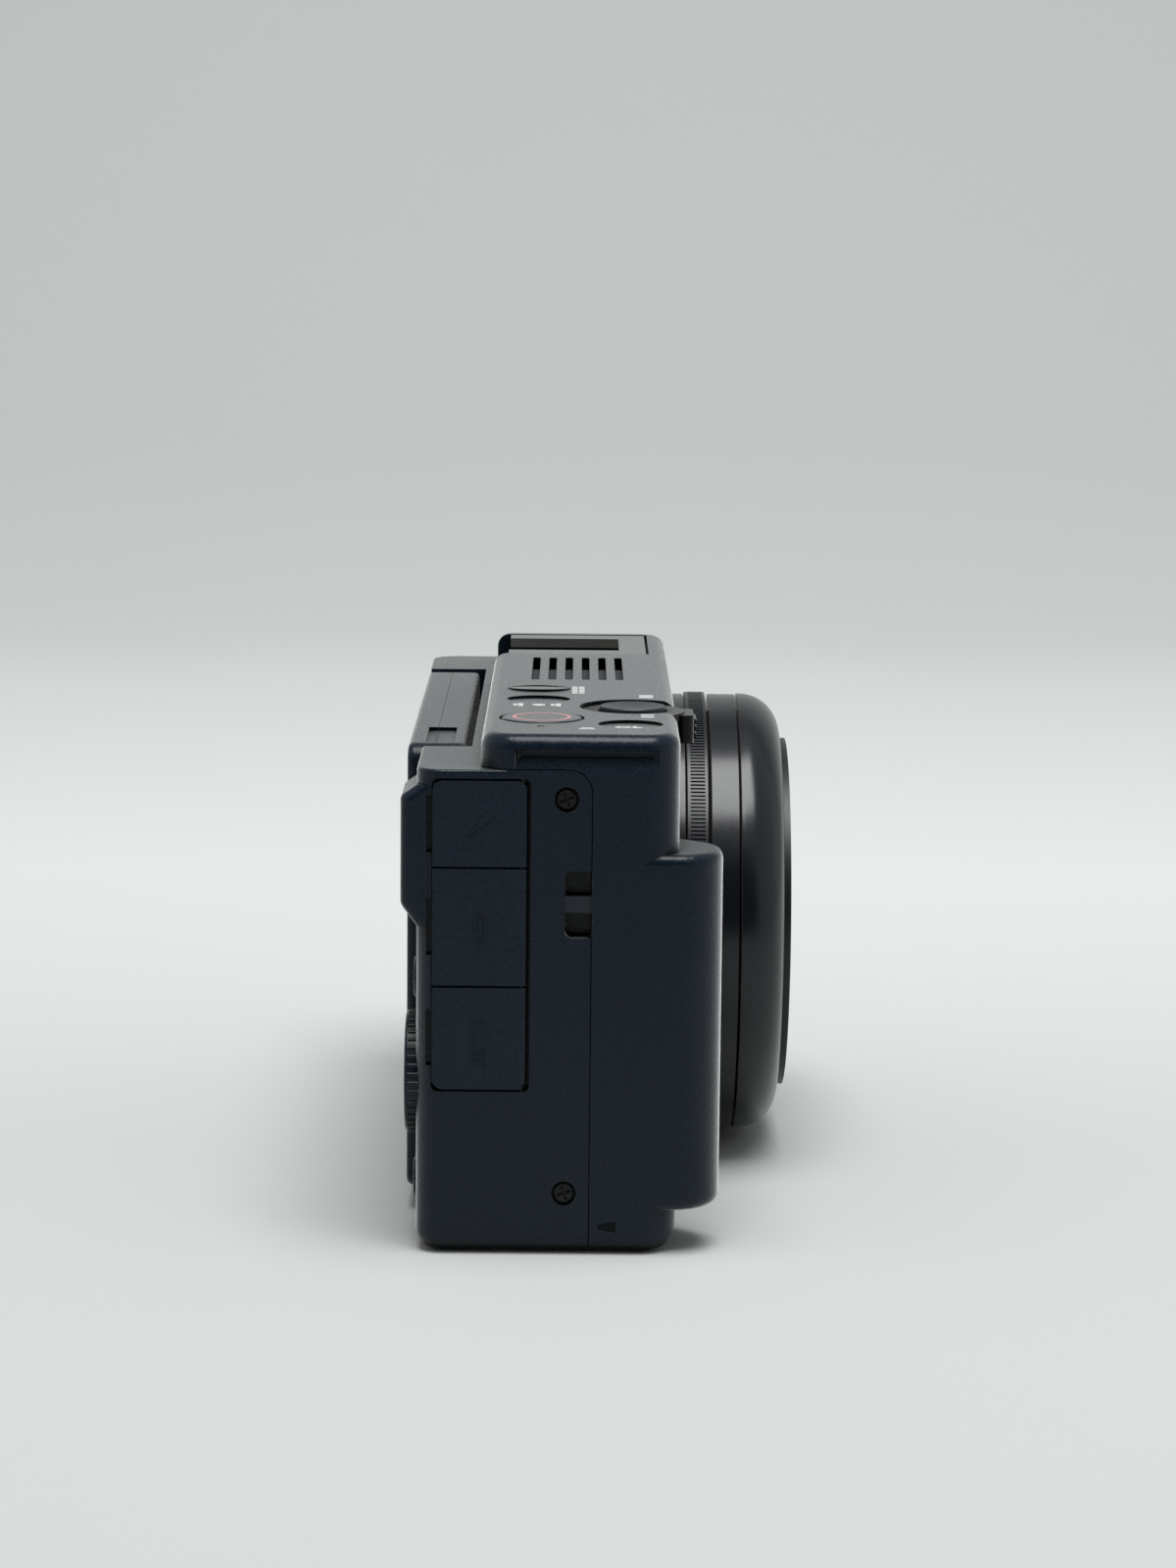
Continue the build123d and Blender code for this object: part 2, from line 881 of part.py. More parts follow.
def base_cuts():
    """Holes in the base for the tripod socket, the screws and their heads."""
    cuts = [rod_z(tripod_flange_radius + seat_gap, tripod_x, tripod_y, -1, tripod_flange_height + seat_gap)]
    cuts.append(rod_z(tripod_insert_radius + seat_gap, tripod_x, tripod_y, -1, wall + 1))
    head_top = base_screw_sink + base_screw_head_height + seat_gap
    for x, y in base_screw_places():
        cuts.append(rod_z(base_screw_radius + 0.2, x, y, -1, head_top))
        cuts.append(rod_z(screw_shank_radius + seat_gap, x, y, -1, wall + 1))
    return cuts


def shoe_pocket():
    """Pocket in the deck for the accessory shoe, open to the rear."""
    grown = shoe_half + shoe_groove
    return block(
        shoe_x - grown, shoe_x + grown, shoe_front_y - shoe_groove, deck_rear_y + 1, shoulder_z, deck_z + 1
    )


def slot_rows():
    """Y of each microphone slot."""
    return [slot_first_y - index * slot_pitch for index in range(slot_count)]


def grille_slots():
    """Slots over the microphones."""
    slots = []
    middle = (slot_near_x + slot_far_x) / 2
    for y in slot_rows():
        bar = extrude(SlotOverall(slot_far_x - slot_near_x, slot_width), wall + 2)
        slots.append(Pos(middle, y, deck_ceiling_z - 1) * bar)
    return slots


def deck_button_cuts():
    """Holes in the deck for the press buttons."""
    cuts = [rod_z(record_radius, record_x, record_y, deck_ceiling_z - 1, deck_z + 1)]
    ovals = [(x, oval_y, oval_length, oval_width) for x in (defocus_x, mode_x)]
    ovals.append((power_x, power_y, power_length, power_width))
    gap = 2 * button_gap
    for x, y, length, width in ovals:
        cuts.append(oval_solid(x, y, length + gap, width + gap, deck_ceiling_z - 1, deck_z + 1))
    cuts.append(rod_z(lamp_radius + seat_gap, lamp_x, lamp_y, deck_ceiling_z - 1, deck_z + 1))
    return cuts


def collar_boss():
    """Thick deck under the zoom lever."""
    boss = rod_z(collar_radius + 1.2, shutter_x, shutter_y, collar_boss_z, deck_ceiling_z + 0.2)
    return boss & block(near_x, far_x, front_y + wall / 2, deck_rear_y, shoulder_z, deck_z)


def collar_cut():
    """Pocket for the zoom lever and the shutter, with its way out to the front."""
    pocket = rod_z(collar_radius, shutter_x, shutter_y, collar_floor_z, deck_z + 1)
    shaft = rod_z(shutter_stem_radius + button_gap, shutter_x, shutter_y, collar_boss_z - 1, deck_z)
    reach = shutter_y - front_y
    half = lever_tab_width / 2 + reach * math.sin(math.radians(lever_swing)) + 0.6
    low_z = deck_z + lever_tab_rise - lever_tab_height - running_gap
    recess = block(shutter_x - half, shutter_x + half, front_y - 3, front_y + lever_recess, low_z, deck_z + 1)
    return pocket + shaft + recess


def top_posts():
    """Posts under the deck that carry the top board."""
    places = [
        (top_board_near_x + 1.4, 2.6),
        (mode_x + 4.1, -3.6),
        (top_board_far_x - 2.5, -4.7),
        (shutter_x - 1.6, 10.4),
    ]
    low = top_board_z + top_board_thickness + seat_gap
    return [rod_z(top_post_radius, x, y, low, deck_ceiling_z + 0.2) for x, y in places]


def cord_cover_wedge(gap, low_x, high_x):
    """Small wedge that points to the rear, grown by a gap."""
    front = cord_cover_y - cord_cover_length / 2 - gap
    rear = cord_cover_y + cord_cover_length / 2 + gap
    tall = cord_cover_height / 2 + gap
    tip = cord_cover_tip_height / 2 + gap
    middle = cord_cover_z
    points = [(front, middle - tall), (rear, middle - tip), (rear, middle + tip), (front, middle + tall)]
    return side_solid(points, low_x, high_x, [0, 0, 0, 0])


def tally_cut():
    """Hole for the front lamp."""
    return rod_y(tally_radius + seat_gap, tally_x, tally_z, front_y - 1, inner_front_y + 1)


def front_casing(shell):
    """Front wall, grip and top deck in one moulding."""
    casing = shell & front_region(0)
    casing += collar_boss()
    casing += top_posts()
    casing += side_screw_tabs()
    casing -= lens_hole()
    casing -= collar_cut()
    casing -= shoe_pocket()
    casing -= grille_slots()
    casing -= deck_button_cuts()
    casing -= cord_cover_wedge(seat_gap, near_x - 1, inner_near_x + 1)
    casing -= tally_cut()
    casing -= base_door_cut()
    casing -= base_cuts()
    casing -= side_screw_cuts()
    return casing


def rear_casing(shell):
    """Rear wall, side walls and rear half of the base in one moulding."""
    casing = shell + port_block()
    casing += side_screw_pads()
    casing += lug_boxes()
    casing -= front_region(seam_gap)
    casing += hinge_blocks()
    low_z = display_bay_base_z + hinge_pin_low_seat
    high_z = shoulder_z - hinge_pin_high_seat
    casing -= rod_z(hinge_pin_radius + pin_gap, hinge_x, hinge_y, low_z, high_z)
    casing -= door_seat()
    casing -= socket_holes()
    low_z = door_base_z - door_pin_seat - pin_gap
    high_z = door_top_z + door_pin_seat + pin_gap
    casing -= rod_z(door_pin_radius + pin_gap, door_pin_x(), door_pin_y(), low_z, high_z)
    casing -= side_screw_cuts()
    casing -= lug_pockets()
    casing -= base_door_cut()
    casing -= base_cuts()
    casing -= rear_button_cuts()
    casing -= speaker_holes()
    return casing


def rear_button_places():
    """Name, X and Z of each small press button on the rear."""
    return [
        ("menu_button", menu_x, menu_z),
        ("function_button", function_x, function_z),
        ("playback_button", playback_x, lower_button_z),
        ("delete_button", delete_x, lower_button_z),
    ]


def rear_button_cuts():
    """Holes in the rear wall for the buttons and the control wheel."""
    cuts = []
    for _, x, z in rear_button_places():
        cuts.append(rod_y(rear_button_radius + button_gap, x, z, inner_rear_y - 1, rear_y + 3))
    wheel_seat_y = wheel_rear_y - wheel_thickness - running_gap
    cuts.append(rod_y(wheel_radius + running_gap, wheel_x, wheel_z, wheel_seat_y, rear_y + 3))
    cuts.append(rod_y(wheel_hub_radius + pin_gap, wheel_x, wheel_z, inner_rear_y - 1, rear_y))
    return cuts


def speaker_holes():
    """Small sound holes in the far side wall."""
    holes = [rod_x(speaker_hole_radius, speaker_y, speaker_z, inner_far_x - 1, far_x + 1)]
    for index in range(6):
        angle = math.radians(60 * index)
        y = speaker_y + speaker_hole_pitch * math.cos(angle)
        z = speaker_z + speaker_hole_pitch * math.sin(angle)
        holes.append(rod_x(speaker_hole_radius, y, z, inner_far_x - 1, far_x + 1))
    return holes


def door_row():
    """The three doors as one flap with one hinge barrel, before they are cut apart."""
    low_x = near_x
    high_x = near_x + door_thickness
    plate = door_outline(
        door_front_y, door_rear_y, door_base_z, door_top_z, door_corner_radius, low_x, high_x
    )
    plate -= block(low_x - 1, high_x + 1, door_front_y - 1, door_pin_y(), door_base_z - 1, door_top_z + 1)
    barrel_low_z = door_base_z + door_barrel_inset
    barrel_high_z = door_top_z - door_barrel_inset
    barrel = rod_z(door_barrel_radius, door_pin_x(), door_pin_y(), barrel_low_z, barrel_high_z)
    barrel = fillet(barrel.edges().filter_by(GeomType.CIRCLE), door_barrel_end_radius)
    pin_hole = rod_z(
        door_pin_radius + pin_gap, door_pin_x(), door_pin_y(), door_base_z - 1, door_top_z + 1
    )
    return plate + barrel - pin_hole


def port_door(low_z, high_z):
    """Flap over one socket, cut from the row of doors."""
    inner_x = near_x + 2 * door_barrel_radius
    return door_row() & block(near_x - 1, inner_x + 1, door_front_y - 1, door_rear_y + 1, low_z, high_z)


def save_port_doors():
    """The three doors and the long pin that they turn on."""
    half = panel_gap / 2
    save("microphone_door", port_door(door_high_split_z + half, door_top_z))
    save("data_port_door", port_door(door_low_split_z + half, door_high_split_z - half))
    save("video_port_door", port_door(door_base_z, door_low_split_z - half))
    pin_low_z = door_base_z - door_pin_seat
    pin_high_z = door_top_z + door_pin_seat
    side_pin = rod_z(door_pin_radius, door_pin_x(), door_pin_y(), pin_low_z, pin_high_z)
    base_pin_x = base_door_far_x - base_door_barrel_radius
    pin_ends = (base_door_front_y - 1.6, base_door_rear_y + 1.6)
    base_pin = rod_y(base_door_pin_radius, base_pin_x, base_door_barrel_radius, *pin_ends)
    save("door_pins", Compound([side_pin, base_pin]))


def tongue_socket(width, height, tongue_width, tongue_height, z):
    """Metal shell with a contact tongue inside."""
    start = door_seat_x + 0.1
    stop = start + socket_length
    shell = upright_slot(width + 2 * socket_wall, height + 2 * socket_wall, start, stop, z)
    shell -= upright_slot(width, height, start - 1, stop - 0.8, z)
    half_y = tongue_width / 2
    half_z = tongue_height / 2
    front = start + socket_tongue_sink
    return shell + block(front, stop, socket_y - half_y, socket_y + half_y, z - half_z, z + half_z)


def save_sockets():
    """The three sockets, their board and the board behind the rear buttons."""
    jack_z, data_z, video_z = socket_middles()
    start = door_seat_x + 0.1
    stop = start + socket_length
    jack = rod_x(jack_outer_radius, socket_y, jack_z, start, stop)
    jack -= rod_x(jack_bore_radius, socket_y, jack_z, start - 1, stop - 0.8)
    data = tongue_socket(data_shell_width, data_shell_height, data_tongue_width, data_tongue_height, data_z)
    video = tongue_socket(
        video_shell_width, video_shell_height, video_tongue_width, video_tongue_height, video_z
    )
    save("port_sockets", Compound([jack, data, video]))
    low_y = card_case_rear_y() + running_gap
    high_y = key_board_rear_y() - key_board_thickness - running_gap
    port_board = block(
        stop, stop + port_board_thickness, low_y, high_y, door_base_z, jack_z + jack_outer_radius
    )
    board_rear_y = key_board_rear_y()
    board_near_x = port_floor_x + running_gap
    board_front_y = board_rear_y - key_board_thickness
    key_board = block(
        board_near_x, column_wall_x - 0.4, board_front_y, board_rear_y, key_board_base_z, key_board_top_z
    )
    save("small_boards", Compound([port_board, key_board]))


def wheel_hub_front_y():
    """Inner end of the control wheel's hub."""
    return wheel_rear_y - wheel_thickness - wheel_hub_length


def key_board_rear_y():
    """Rear face of the board behind the rear buttons."""
    return wheel_hub_front_y() - key_board_gap


def rear_plunger_length():
    """How far the rear buttons reach into the body."""
    return 0.3


def cross_screw(radius, head_height, shank_radius, length):
    """Screw pointing down from the origin, with a cross recess in its head."""
    head = Pos(0, 0, -head_height / 2) * Cylinder(radius, head_height)
    rim = head.edges().filter_by(GeomType.CIRCLE).group_by(Axis.Z)[-1]
    head = chamfer(rim, 0.15)
    shank = Pos(0, 0, -head_height - length / 2) * Cylinder(shank_radius, length)
    bar = Box(cross_span, cross_width, 2 * cross_depth)
    return head + shank - bar - Rot(0, 0, 90) * bar


def save_side_screws():
    """Four screws that hold the side walls to the front casing."""
    screw = cross_screw(screw_head_radius, screw_head_height, screw_shank_radius, screw_length)
    screws = []
    for side_x, inward in lug_ranges:
        for z in screw_heights:
            turn = Rot(0, -90 * inward, 0) * Rot(0, 0, 20)
            screws.append(Pos(side_x + inward * screw_sink, screw_y, z) * turn * screw)
    save("side_screws", Compound(screws))


def save_strap_lugs():
    """Bar across each strap recess."""
    bars = []
    for side_x, inward in lug_ranges:
        start = side_x + inward * lug_bar_sink
        low, high = sorted((start, start + inward * lug_bar_thickness))
        low_z = lug_bar_z - lug_bar_height / 2
        high_z = lug_bar_z + lug_bar_height / 2
        bars.append(block(low, high, seam_y, lug_rear_y, low_z, high_z))
    save("strap_lugs", Compound(bars))


def display_outline(low_y, high_y, inset):
    """Upright plate of the display, drawn in by an inset on every side."""
    points = [
        (display_near_x + inset, display_base_z + inset),
        (display_far_x - inset, display_base_z + inset),
        (display_far_x - inset, display_top_z - inset),
        (display_near_x + inset, display_top_z - inset),
    ]
    return front_solid(points, low_y, high_y, [max(display_corner_radius - inset, 0.3)] * 4)


def save_display():
    """Shells, glass and panel of the folding display."""
    body = display_outline(display_front_y, display_rear_y, 0)
    body = fillet(body.edges().group_by(Axis.Y)[0], display_edge_radius)
    body = fillet(body.edges().group_by(Axis.Y)[-1], display_edge_radius)
    tab_base_z = display_top_z - tab_depth
    body -= block(tab_near_x, tab_far_x, tab_front_y, tab_rear_y, tab_base_z, display_top_z + 1)
    front_side = block(-100, 100, 0, display_seam_y, -10, 100)
    rear_side = block(-100, 100, display_seam_y + 0.05, 50, -10, 100)
    cavity_front = display_front_y + display_shell_wall
    bezel_inner_y = display_rear_y - bezel_thickness
    room = display_outline(cavity_front, bezel_inner_y, display_shell_wall)
    window = display_outline(bezel_inner_y - 1, display_rear_y + 1, bezel_side)
    glass_seat_y = display_rear_y - glass_sink - glass_thickness
    glass_inset = 1.3
    seat = display_outline(glass_seat_y, display_rear_y + 1, glass_inset - seat_gap)
    shaft_low = display_far_x - (tilt_shaft_length - tilt_shaft_arm_share)
    shaft_high = display_far_x + tilt_shaft_arm_share
    shaft_hole = rod_x(
        tilt_shaft_radius + pin_gap, display_seam_y - 0.3, tilt_shaft_z, shaft_low, shaft_high + 5
    )
    save("display_back_shell", (body & front_side) - room - shaft_hole)
    save("display_bezel", (body & rear_side) - room - window - seat - shaft_hole)
    save("display_glass", display_outline(glass_seat_y, display_rear_y - glass_sink, glass_inset))
    module_rear_y = glass_seat_y
    module = display_outline(module_rear_y - screen_module_thickness, module_rear_y, bezel_side + seat_gap)
    module -= shaft_hole
    save("screen_module", module)


def save_display_hinge():
    """Arm, pin and tilt shaft that carry the display."""
    low_z = display_bay_base_z + hinge_block_height + running_gap
    high_z = shoulder_z - hinge_block_height - running_gap
    arm = block(arm_near_x, hinge_x, display_front_y, display_rear_y, low_z, high_z)
    near_edges = arm.edges().filter_by(Axis.Z).group_by(Axis.X)[0]
    arm = fillet(near_edges, 0.5)
    turn_room = block(hinge_x, hinge_x + 10, display_front_y - 1, display_rear_y + 1, low_z - 1, high_z + 1)
    corner_trim = block(hinge_x - 1, hinge_x + 10, hinge_y + hinge_barrel_radius, 40, low_z - 1, high_z + 1)
    arm = arm - turn_room - corner_trim + rod_z(hinge_barrel_radius, hinge_x, hinge_y, low_z, high_z)
    arm &= block(arm_near_x, 100, hinge_y - hinge_barrel_radius, display_rear_y, low_z, high_z)
    arm -= rod_z(hinge_pin_radius + pin_gap, hinge_x, hinge_y, low_z - 1, high_z + 1)
    shaft_y = display_seam_y - 0.3
    shaft_high = display_far_x + tilt_shaft_arm_share
    arm -= rod_x(tilt_shaft_radius + pin_gap, shaft_y, tilt_shaft_z, arm_near_x - 1, shaft_high)
    save("display_arm", arm)
    pin_low_z = display_bay_base_z + hinge_pin_low_seat + pin_gap
    pin_high_z = shoulder_z - hinge_pin_high_seat - pin_gap
    save("display_hinge_pin", rod_z(hinge_pin_radius, hinge_x, hinge_y, pin_low_z, pin_high_z))
    shaft_low = shaft_high - tilt_shaft_length
    shaft = rod_x(tilt_shaft_radius, shaft_y, tilt_shaft_z, shaft_low + 0.1, shaft_high - 0.1)
    save("display_tilt_shaft", shaft)


def ribbed_ring():
    """Control ring with fine ribs along the lens axis."""
    ring = ring_y(control_ring_radius, lens_tube_radius + pin_gap, control_ring_front_y, control_ring_rear_y)
    land = 0.35
    pitch = 360 / control_rib_count
    groove_width = control_ring_radius * math.radians(pitch) / 2
    cutter = Box(2 * control_rib_depth, control_ring_rear_y - control_ring_front_y - 2 * land, groove_width)
    middle_y = (control_ring_rear_y + control_ring_front_y) / 2
    cutters = []
    for index in range(control_rib_count):
        cutters.append(
            Pos(lens_x, middle_y, lens_z) * Rot(0, index * pitch, 0) * Pos(control_ring_radius, 0, 0) * cutter
        )
    return ring - cutters


def save_lens_rings():
    """The outside of the lens, from the body to the filter thread."""
    save("lens_base_ring", ring_y(base_ring_radius, lens_tube_radius, base_ring_front_y, front_y))
    save("control_ring", ribbed_ring())
    save("barrel_ring", ring_y(barrel_ring_radius, lens_tube_radius, barrel_ring_front_y, barrel_ring_rear_y))
    cover = ring_y(front_ring_radius, filter_ring_radius, front_ring_front_y, front_ring_rear_y)
    rim = cover.edges().filter_by(GeomType.CIRCLE).filter_by(
        lambda e: abs(e.radius - front_ring_radius) < 0.01 and e.center().Y < front_ring_rear_y - 1
    )
    cover = fillet(rim, front_ring_round)
    cover -= rod_y(lens_tube_radius, lens_x, lens_z, lens_tube_front_y, front_ring_rear_y + 1)
    save("lens_front_ring", cover)
    bore = filter_thread_radius - filter_thread_step
    ring = ring_y(filter_ring_radius, bore, filter_ring_front_y, filter_ring_rear_y)
    thread_rear_y = filter_ring_front_y + filter_thread_depth
    ring -= rod_y(filter_thread_radius, lens_x, lens_z, filter_ring_front_y - 1, thread_rear_y)
    save("filter_ring", ring)


def lens_trim():
    """Dished ring between the filter thread and the front glass."""
    seat_y = filter_ring_front_y + filter_thread_depth + seat_gap
    inner_y = front_glass_y + front_glass_edge + 0.02
    outer = filter_thread_radius - filter_thread_step - trim_gap
    inner = front_glass_radius + seat_gap
    ledge = inner - trim_lip
    return turned(
        [
            (outer, seat_y),
            (inner, front_glass_y + trim_drop),
            (inner, inner_y),
            (ledge, inner_y),
            (ledge, inner_y + trim_thickness),
            (outer, inner_y + trim_thickness),
        ]
    )


def lens_glass(radius, middle_y, edge, front_crown, rear_crown):
    """Round glass with a domed front and rear."""
    rim_front_y = middle_y - edge / 2
    rim_rear_y = middle_y + edge / 2
    axis_line = Line((0, rim_front_y - front_crown), (0, rim_rear_y + rear_crown))
    front_face = ThreePointArc(
        (0, rim_front_y - front_crown),
        (radius * 0.52, rim_front_y - front_crown * 0.735),
        (radius, rim_front_y),
    )
    rear_face = ThreePointArc(
        (0, rim_rear_y + rear_crown),
        (radius * 0.52, rim_rear_y + rear_crown * 0.735),
        (radius, rim_rear_y),
    )
    rim = Line((radius, rim_front_y), (radius, rim_rear_y))
    profile = make_face([axis_line, front_face, rim, rear_face])
    return Pos(lens_x, 0, lens_z) * revolve(profile, Axis.Y)


def iris_blades():
    """Blades of the aperture as thin leaves round its opening."""
    leaf = ring_y(second_glass_radius - 0.4, iris_opening, iris_y, iris_y + iris_thickness)
    step = 360 / iris_blade_count
    cutters = []
    for index in range(iris_blade_count):
        cutter = Pos(second_glass_radius, 0, 0) * Box(2 * second_glass_radius, 5, iris_blade_gap)
        turn = Pos(lens_x, iris_y, lens_z) * Rot(0, index * step, 0)
        cutters.append(turn * Pos(0, 0, iris_opening * 0.6) * cutter)
    return leaf - cutters


def save_lens_core():
    """Inner tube, glass, aperture and sensor."""
    flange_rear_y = inner_front_y + lens_flange_thickness
    tube = ring_y(lens_tube_radius, lens_tube_radius - lens_tube_wall, lens_tube_front_y, flange_rear_y)
    optic_radius = front_glass_radius + seat_gap + optic_tube_wall
    tube += ring_y(lens_flange_radius, optic_radius, inner_front_y + 0.02, flange_rear_y)
    save("lens_barrel", tube)
    save("lens_trim_ring", lens_trim())
    middle_y = front_glass_y + front_glass_edge / 2
    save("front_glass", lens_glass(front_glass_radius, middle_y, front_glass_edge, glass_crown, -0.5))
    bore = second_glass_radius
    inner_tube = ring_y(optic_radius, bore + glass_rest_gap, optic_tube_front_y, optic_tube_rear_y)
    counterbore_y = second_glass_y - 2.2
    inner_tube -= rod_y(front_glass_radius - 0.8, lens_x, lens_z, optic_tube_front_y - 1, counterbore_y)
    seat_bore = rear_glass_radius + glass_rest_gap
    inner_tube += ring_y(bore + 0.5, seat_bore, rear_glass_y - 1.6, rear_glass_y + 1.6)
    mount_rear_y = optic_tube_rear_y + sensor_mount_thickness
    plate = rod_y(sensor_mount_radius, lens_x, lens_z, optic_tube_rear_y - 0.2, mount_rear_y)
    plate -= centred(sensor_width - 2, sensor_height - 2, optic_tube_rear_y - 1, mount_rear_y + 1)
    save("optic_tube", inner_tube + plate)
    second = lens_glass(bore, second_glass_y, glass_edge, glass_crown, glass_crown)
    rear = lens_glass(rear_glass_radius, rear_glass_y, glass_edge, rear_glass_crown, rear_glass_crown)
    save("inner_glasses", Compound([second, rear]))
    save("iris_blades", iris_blades())


def centred(width, height, low_y, high_y):
    """Upright block centred on the lens axis."""
    half = width / 2
    return block(lens_x - half, lens_x + half, low_y, high_y, lens_z - height / 2, lens_z + height / 2)


def save_sensor():
    """Sensor and its board, behind the mounting plate of the inner tube."""
    mount_rear_y = optic_tube_rear_y + sensor_mount_thickness
    sensor_rear_y = mount_rear_y + sensor_thickness
    save("image_sensor", centred(sensor_width, sensor_height, mount_rear_y + 0.02, sensor_rear_y))
    board_rear_y = sensor_rear_y + sensor_board_thickness
    save("sensor_board", centred(sensor_board_side, sensor_board_side, sensor_rear_y, board_rear_y))


def sensor_board_rear_y():
    """Rear face of the sensor board."""
    return optic_tube_rear_y + sensor_mount_thickness + sensor_thickness + sensor_board_thickness


def chassis_leg_places():
    """Middle of each chassis leg in X and Z."""
    low_z = wall + chassis_margin + 5.5
    high_z = shoulder_z - wall - chassis_margin - 5.5
    columns = (chassis_near_x + 5.5, inner_far_x - chassis_margin - 5.5)
    return [(x, z) for x in columns for z in (low_z, high_z)]


def save_chassis():
    """Pressed metal frame behind the lens, on legs from the rear wall."""
    rear_face = chassis_y + chassis_thickness
    high_x = inner_far_x - chassis_margin - 2
    low_z = wall + seat_gap
    plate = block(chassis_near_x, high_x, chassis_y, rear_face, low_z, shoulder_z - wall - chassis_margin)
    for x, z in chassis_leg_places():
        plate += rod_y(chassis_collar_radius, x, z, rear_face, main_board_y - 0.02)
        plate += rod_y(chassis_leg_radius, x, z, rear_face, centre_rear_y - seat_gap)
    for x, y in base_screw_places():
        if y < chassis_y:
            foot_y = (y - 2.6, chassis_y + 0.2)
        else:
            foot_y = (chassis_y + 0.7, y + 2.6)
        plate += block(x - foot_length / 2, x + foot_length / 2, *foot_y, low_z, low_z + foot_thickness)
        plate -= rod_z(screw_shank_radius + seat_gap, x, y, 0, low_z + foot_thickness + 1)
    for z in (-1, 1):
        post_z = lens_z + z * (sensor_board_side / 2 - 2)
        plate += rod_y(1.4, lens_x, post_z, sensor_board_rear_y() + 0.02, chassis_y)
    plate -= rod_z(tripod_insert_radius + running_gap, tripod_x, tripod_y, 0, tripod_depth + wall + 1.6)
    save("chassis", plate)
    board = block(
        chassis_near_x + board_margin,
        inner_far_x - chassis_margin - board_margin - 1,
        main_board_y,
        main_board_y + main_board_thickness,
        wall + tripod_depth + 3,
        shoulder_z - wall - chassis_margin - board_margin,
    )
    for x, z in chassis_leg_places():
        board -= rod_y(chassis_leg_radius + seat_gap, x, z, 0, centre_rear_y)
    save("main_board", board)


def holder_front_y():
    """Front face of the battery holder."""
    return battery_front_y - holder_gap - holder_wall


def holder_rear_y():
    """Rear face of the battery holder."""
    return battery_front_y + battery_thickness + holder_gap + holder_wall


def card_case_rear_y():
    """Rear face of the card slot."""
    return holder_rear_y() + seat_gap + card_thickness + 2 * (card_case_wall + card_contact_gap)


def save_battery_parts():
    """Battery, its holder, the card and the card slot."""
    top_z = battery_base_z + battery_height
    battery = rounded_block(
        battery_near_x,
        battery_far_x,
        battery_front_y,
        battery_front_y + battery_thickness,
        battery_base_z,
        top_z,
        battery_corner_radius,
    )
    save("battery", battery)
    holder = block(
        battery_near_x - holder_gap - holder_wall,
        battery_far_x + holder_gap + holder_wall,
        holder_front_y(),
        holder_rear_y(),
        wall + seat_gap,
        top_z + holder_gap + holder_wall,
    )
    holder -= block(
        battery_near_x - holder_gap,
        battery_far_x + holder_gap,
        battery_front_y - holder_gap,
        battery_front_y + battery_thickness + holder_gap,
        0,
        top_z + holder_gap,
    )
    holder &= block(inner_near_x + seat_gap, 0, -20, 20, 0, 60)
    for z in screw_heights:
        holder -= block(near_x, near_x + screw_length + 2.2, -6, screw_y + 3, z - 2.6, z + 2.6)
    save("battery_holder", holder)
    card_front_y = holder_rear_y() + seat_gap + card_case_wall + card_contact_gap
    card_rear_y = card_front_y + card_thickness
    card = block(card_near_x, card_far_x, card_front_y, card_rear_y, card_base_z, card_base_z + card_height)
    save("memory_card", card)
    grow = card_contact_gap
    case = block(
        card_near_x - grow - card_case_wall,
        card_far_x + grow + card_case_wall,
        holder_rear_y() + seat_gap,
        card_case_rear_y(),
        wall + 1.6,
        card_base_z + card_height + grow + card_case_wall,
    )
    case -= block(
        card_near_x - grow,
        card_far_x + grow,
        card_front_y - grow,
        card_front_y + card_thickness + grow,
        0,
        card_base_z + card_height + grow,
    )
    save("card_slot", case)


def save_battery_door():
    """Door in the base, its pin and its sliding latch."""
    pin_x = base_door_far_x - base_door_barrel_radius
    points = [
        (base_door_near_x, base_door_front_y),
        (pin_x, base_door_front_y),
        (pin_x, base_door_rear_y),
        (base_door_near_x, base_door_rear_y),
    ]
    radii = [base_door_corner_radius, 0, 0, base_door_corner_radius]
    panel = plan_solid(points, 0, base_door_thickness, radii)
    pin_z = base_door_barrel_radius
    panel += rod_y(base_door_barrel_radius, pin_x, pin_z, base_door_front_y, base_door_rear_y)
    panel -= rod_y(base_door_pin_radius + pin_gap, pin_x, base_door_barrel_radius, -20, 20)
    middle_y = (base_door_front_y + base_door_rear_y) / 2
    low_x = base_door_near_x + latch_near_inset
    pocket_high_x = low_x + latch_length + latch_travel + 0.4
    half = latch_width / 2
    low_y = middle_y - half - 0.15
    high_y = middle_y + half + 0.15
    panel -= block(low_x - 0.15, pocket_high_x, low_y, high_y, -1, latch_thickness + 0.05)
    save("battery_door", panel)
    latch = block(low_x, low_x + latch_length, middle_y - half, middle_y + half, 0.25, latch_thickness)
    rib_pitch = latch_length / (latch_rib_count + 1)
    for index in range(latch_rib_count):
        rib_x = low_x + (index + 1) * rib_pitch
        latch += block(rib_x - 0.2, rib_x + 0.2, middle_y - half + 0.6, middle_y + half - 0.6, 0.02, 0.3)
    save("battery_latch", latch)


def save_base_fittings():
    """Tripod socket and base screws."""
    insert = rod_z(tripod_flange_radius, tripod_x, tripod_y, 0.02, tripod_flange_height)
    insert_top = wall + tripod_depth + 0.8
    insert += rod_z(tripod_insert_radius, tripod_x, tripod_y, tripod_flange_height - 0.1, insert_top)
    insert -= rod_z(tripod_hole_radius, tripod_x, tripod_y, -1, tripod_depth)
    save("tripod_socket", insert)
    length = wall + foot_thickness + 0.6
    screw = cross_screw(base_screw_radius, base_screw_head_height, screw_shank_radius - 0.1, length)
    screws = [Pos(x, y, base_screw_sink) * Rot(180, 0, 15) * screw for x, y in base_screw_places()]
    save("base_screws", Compound(screws))


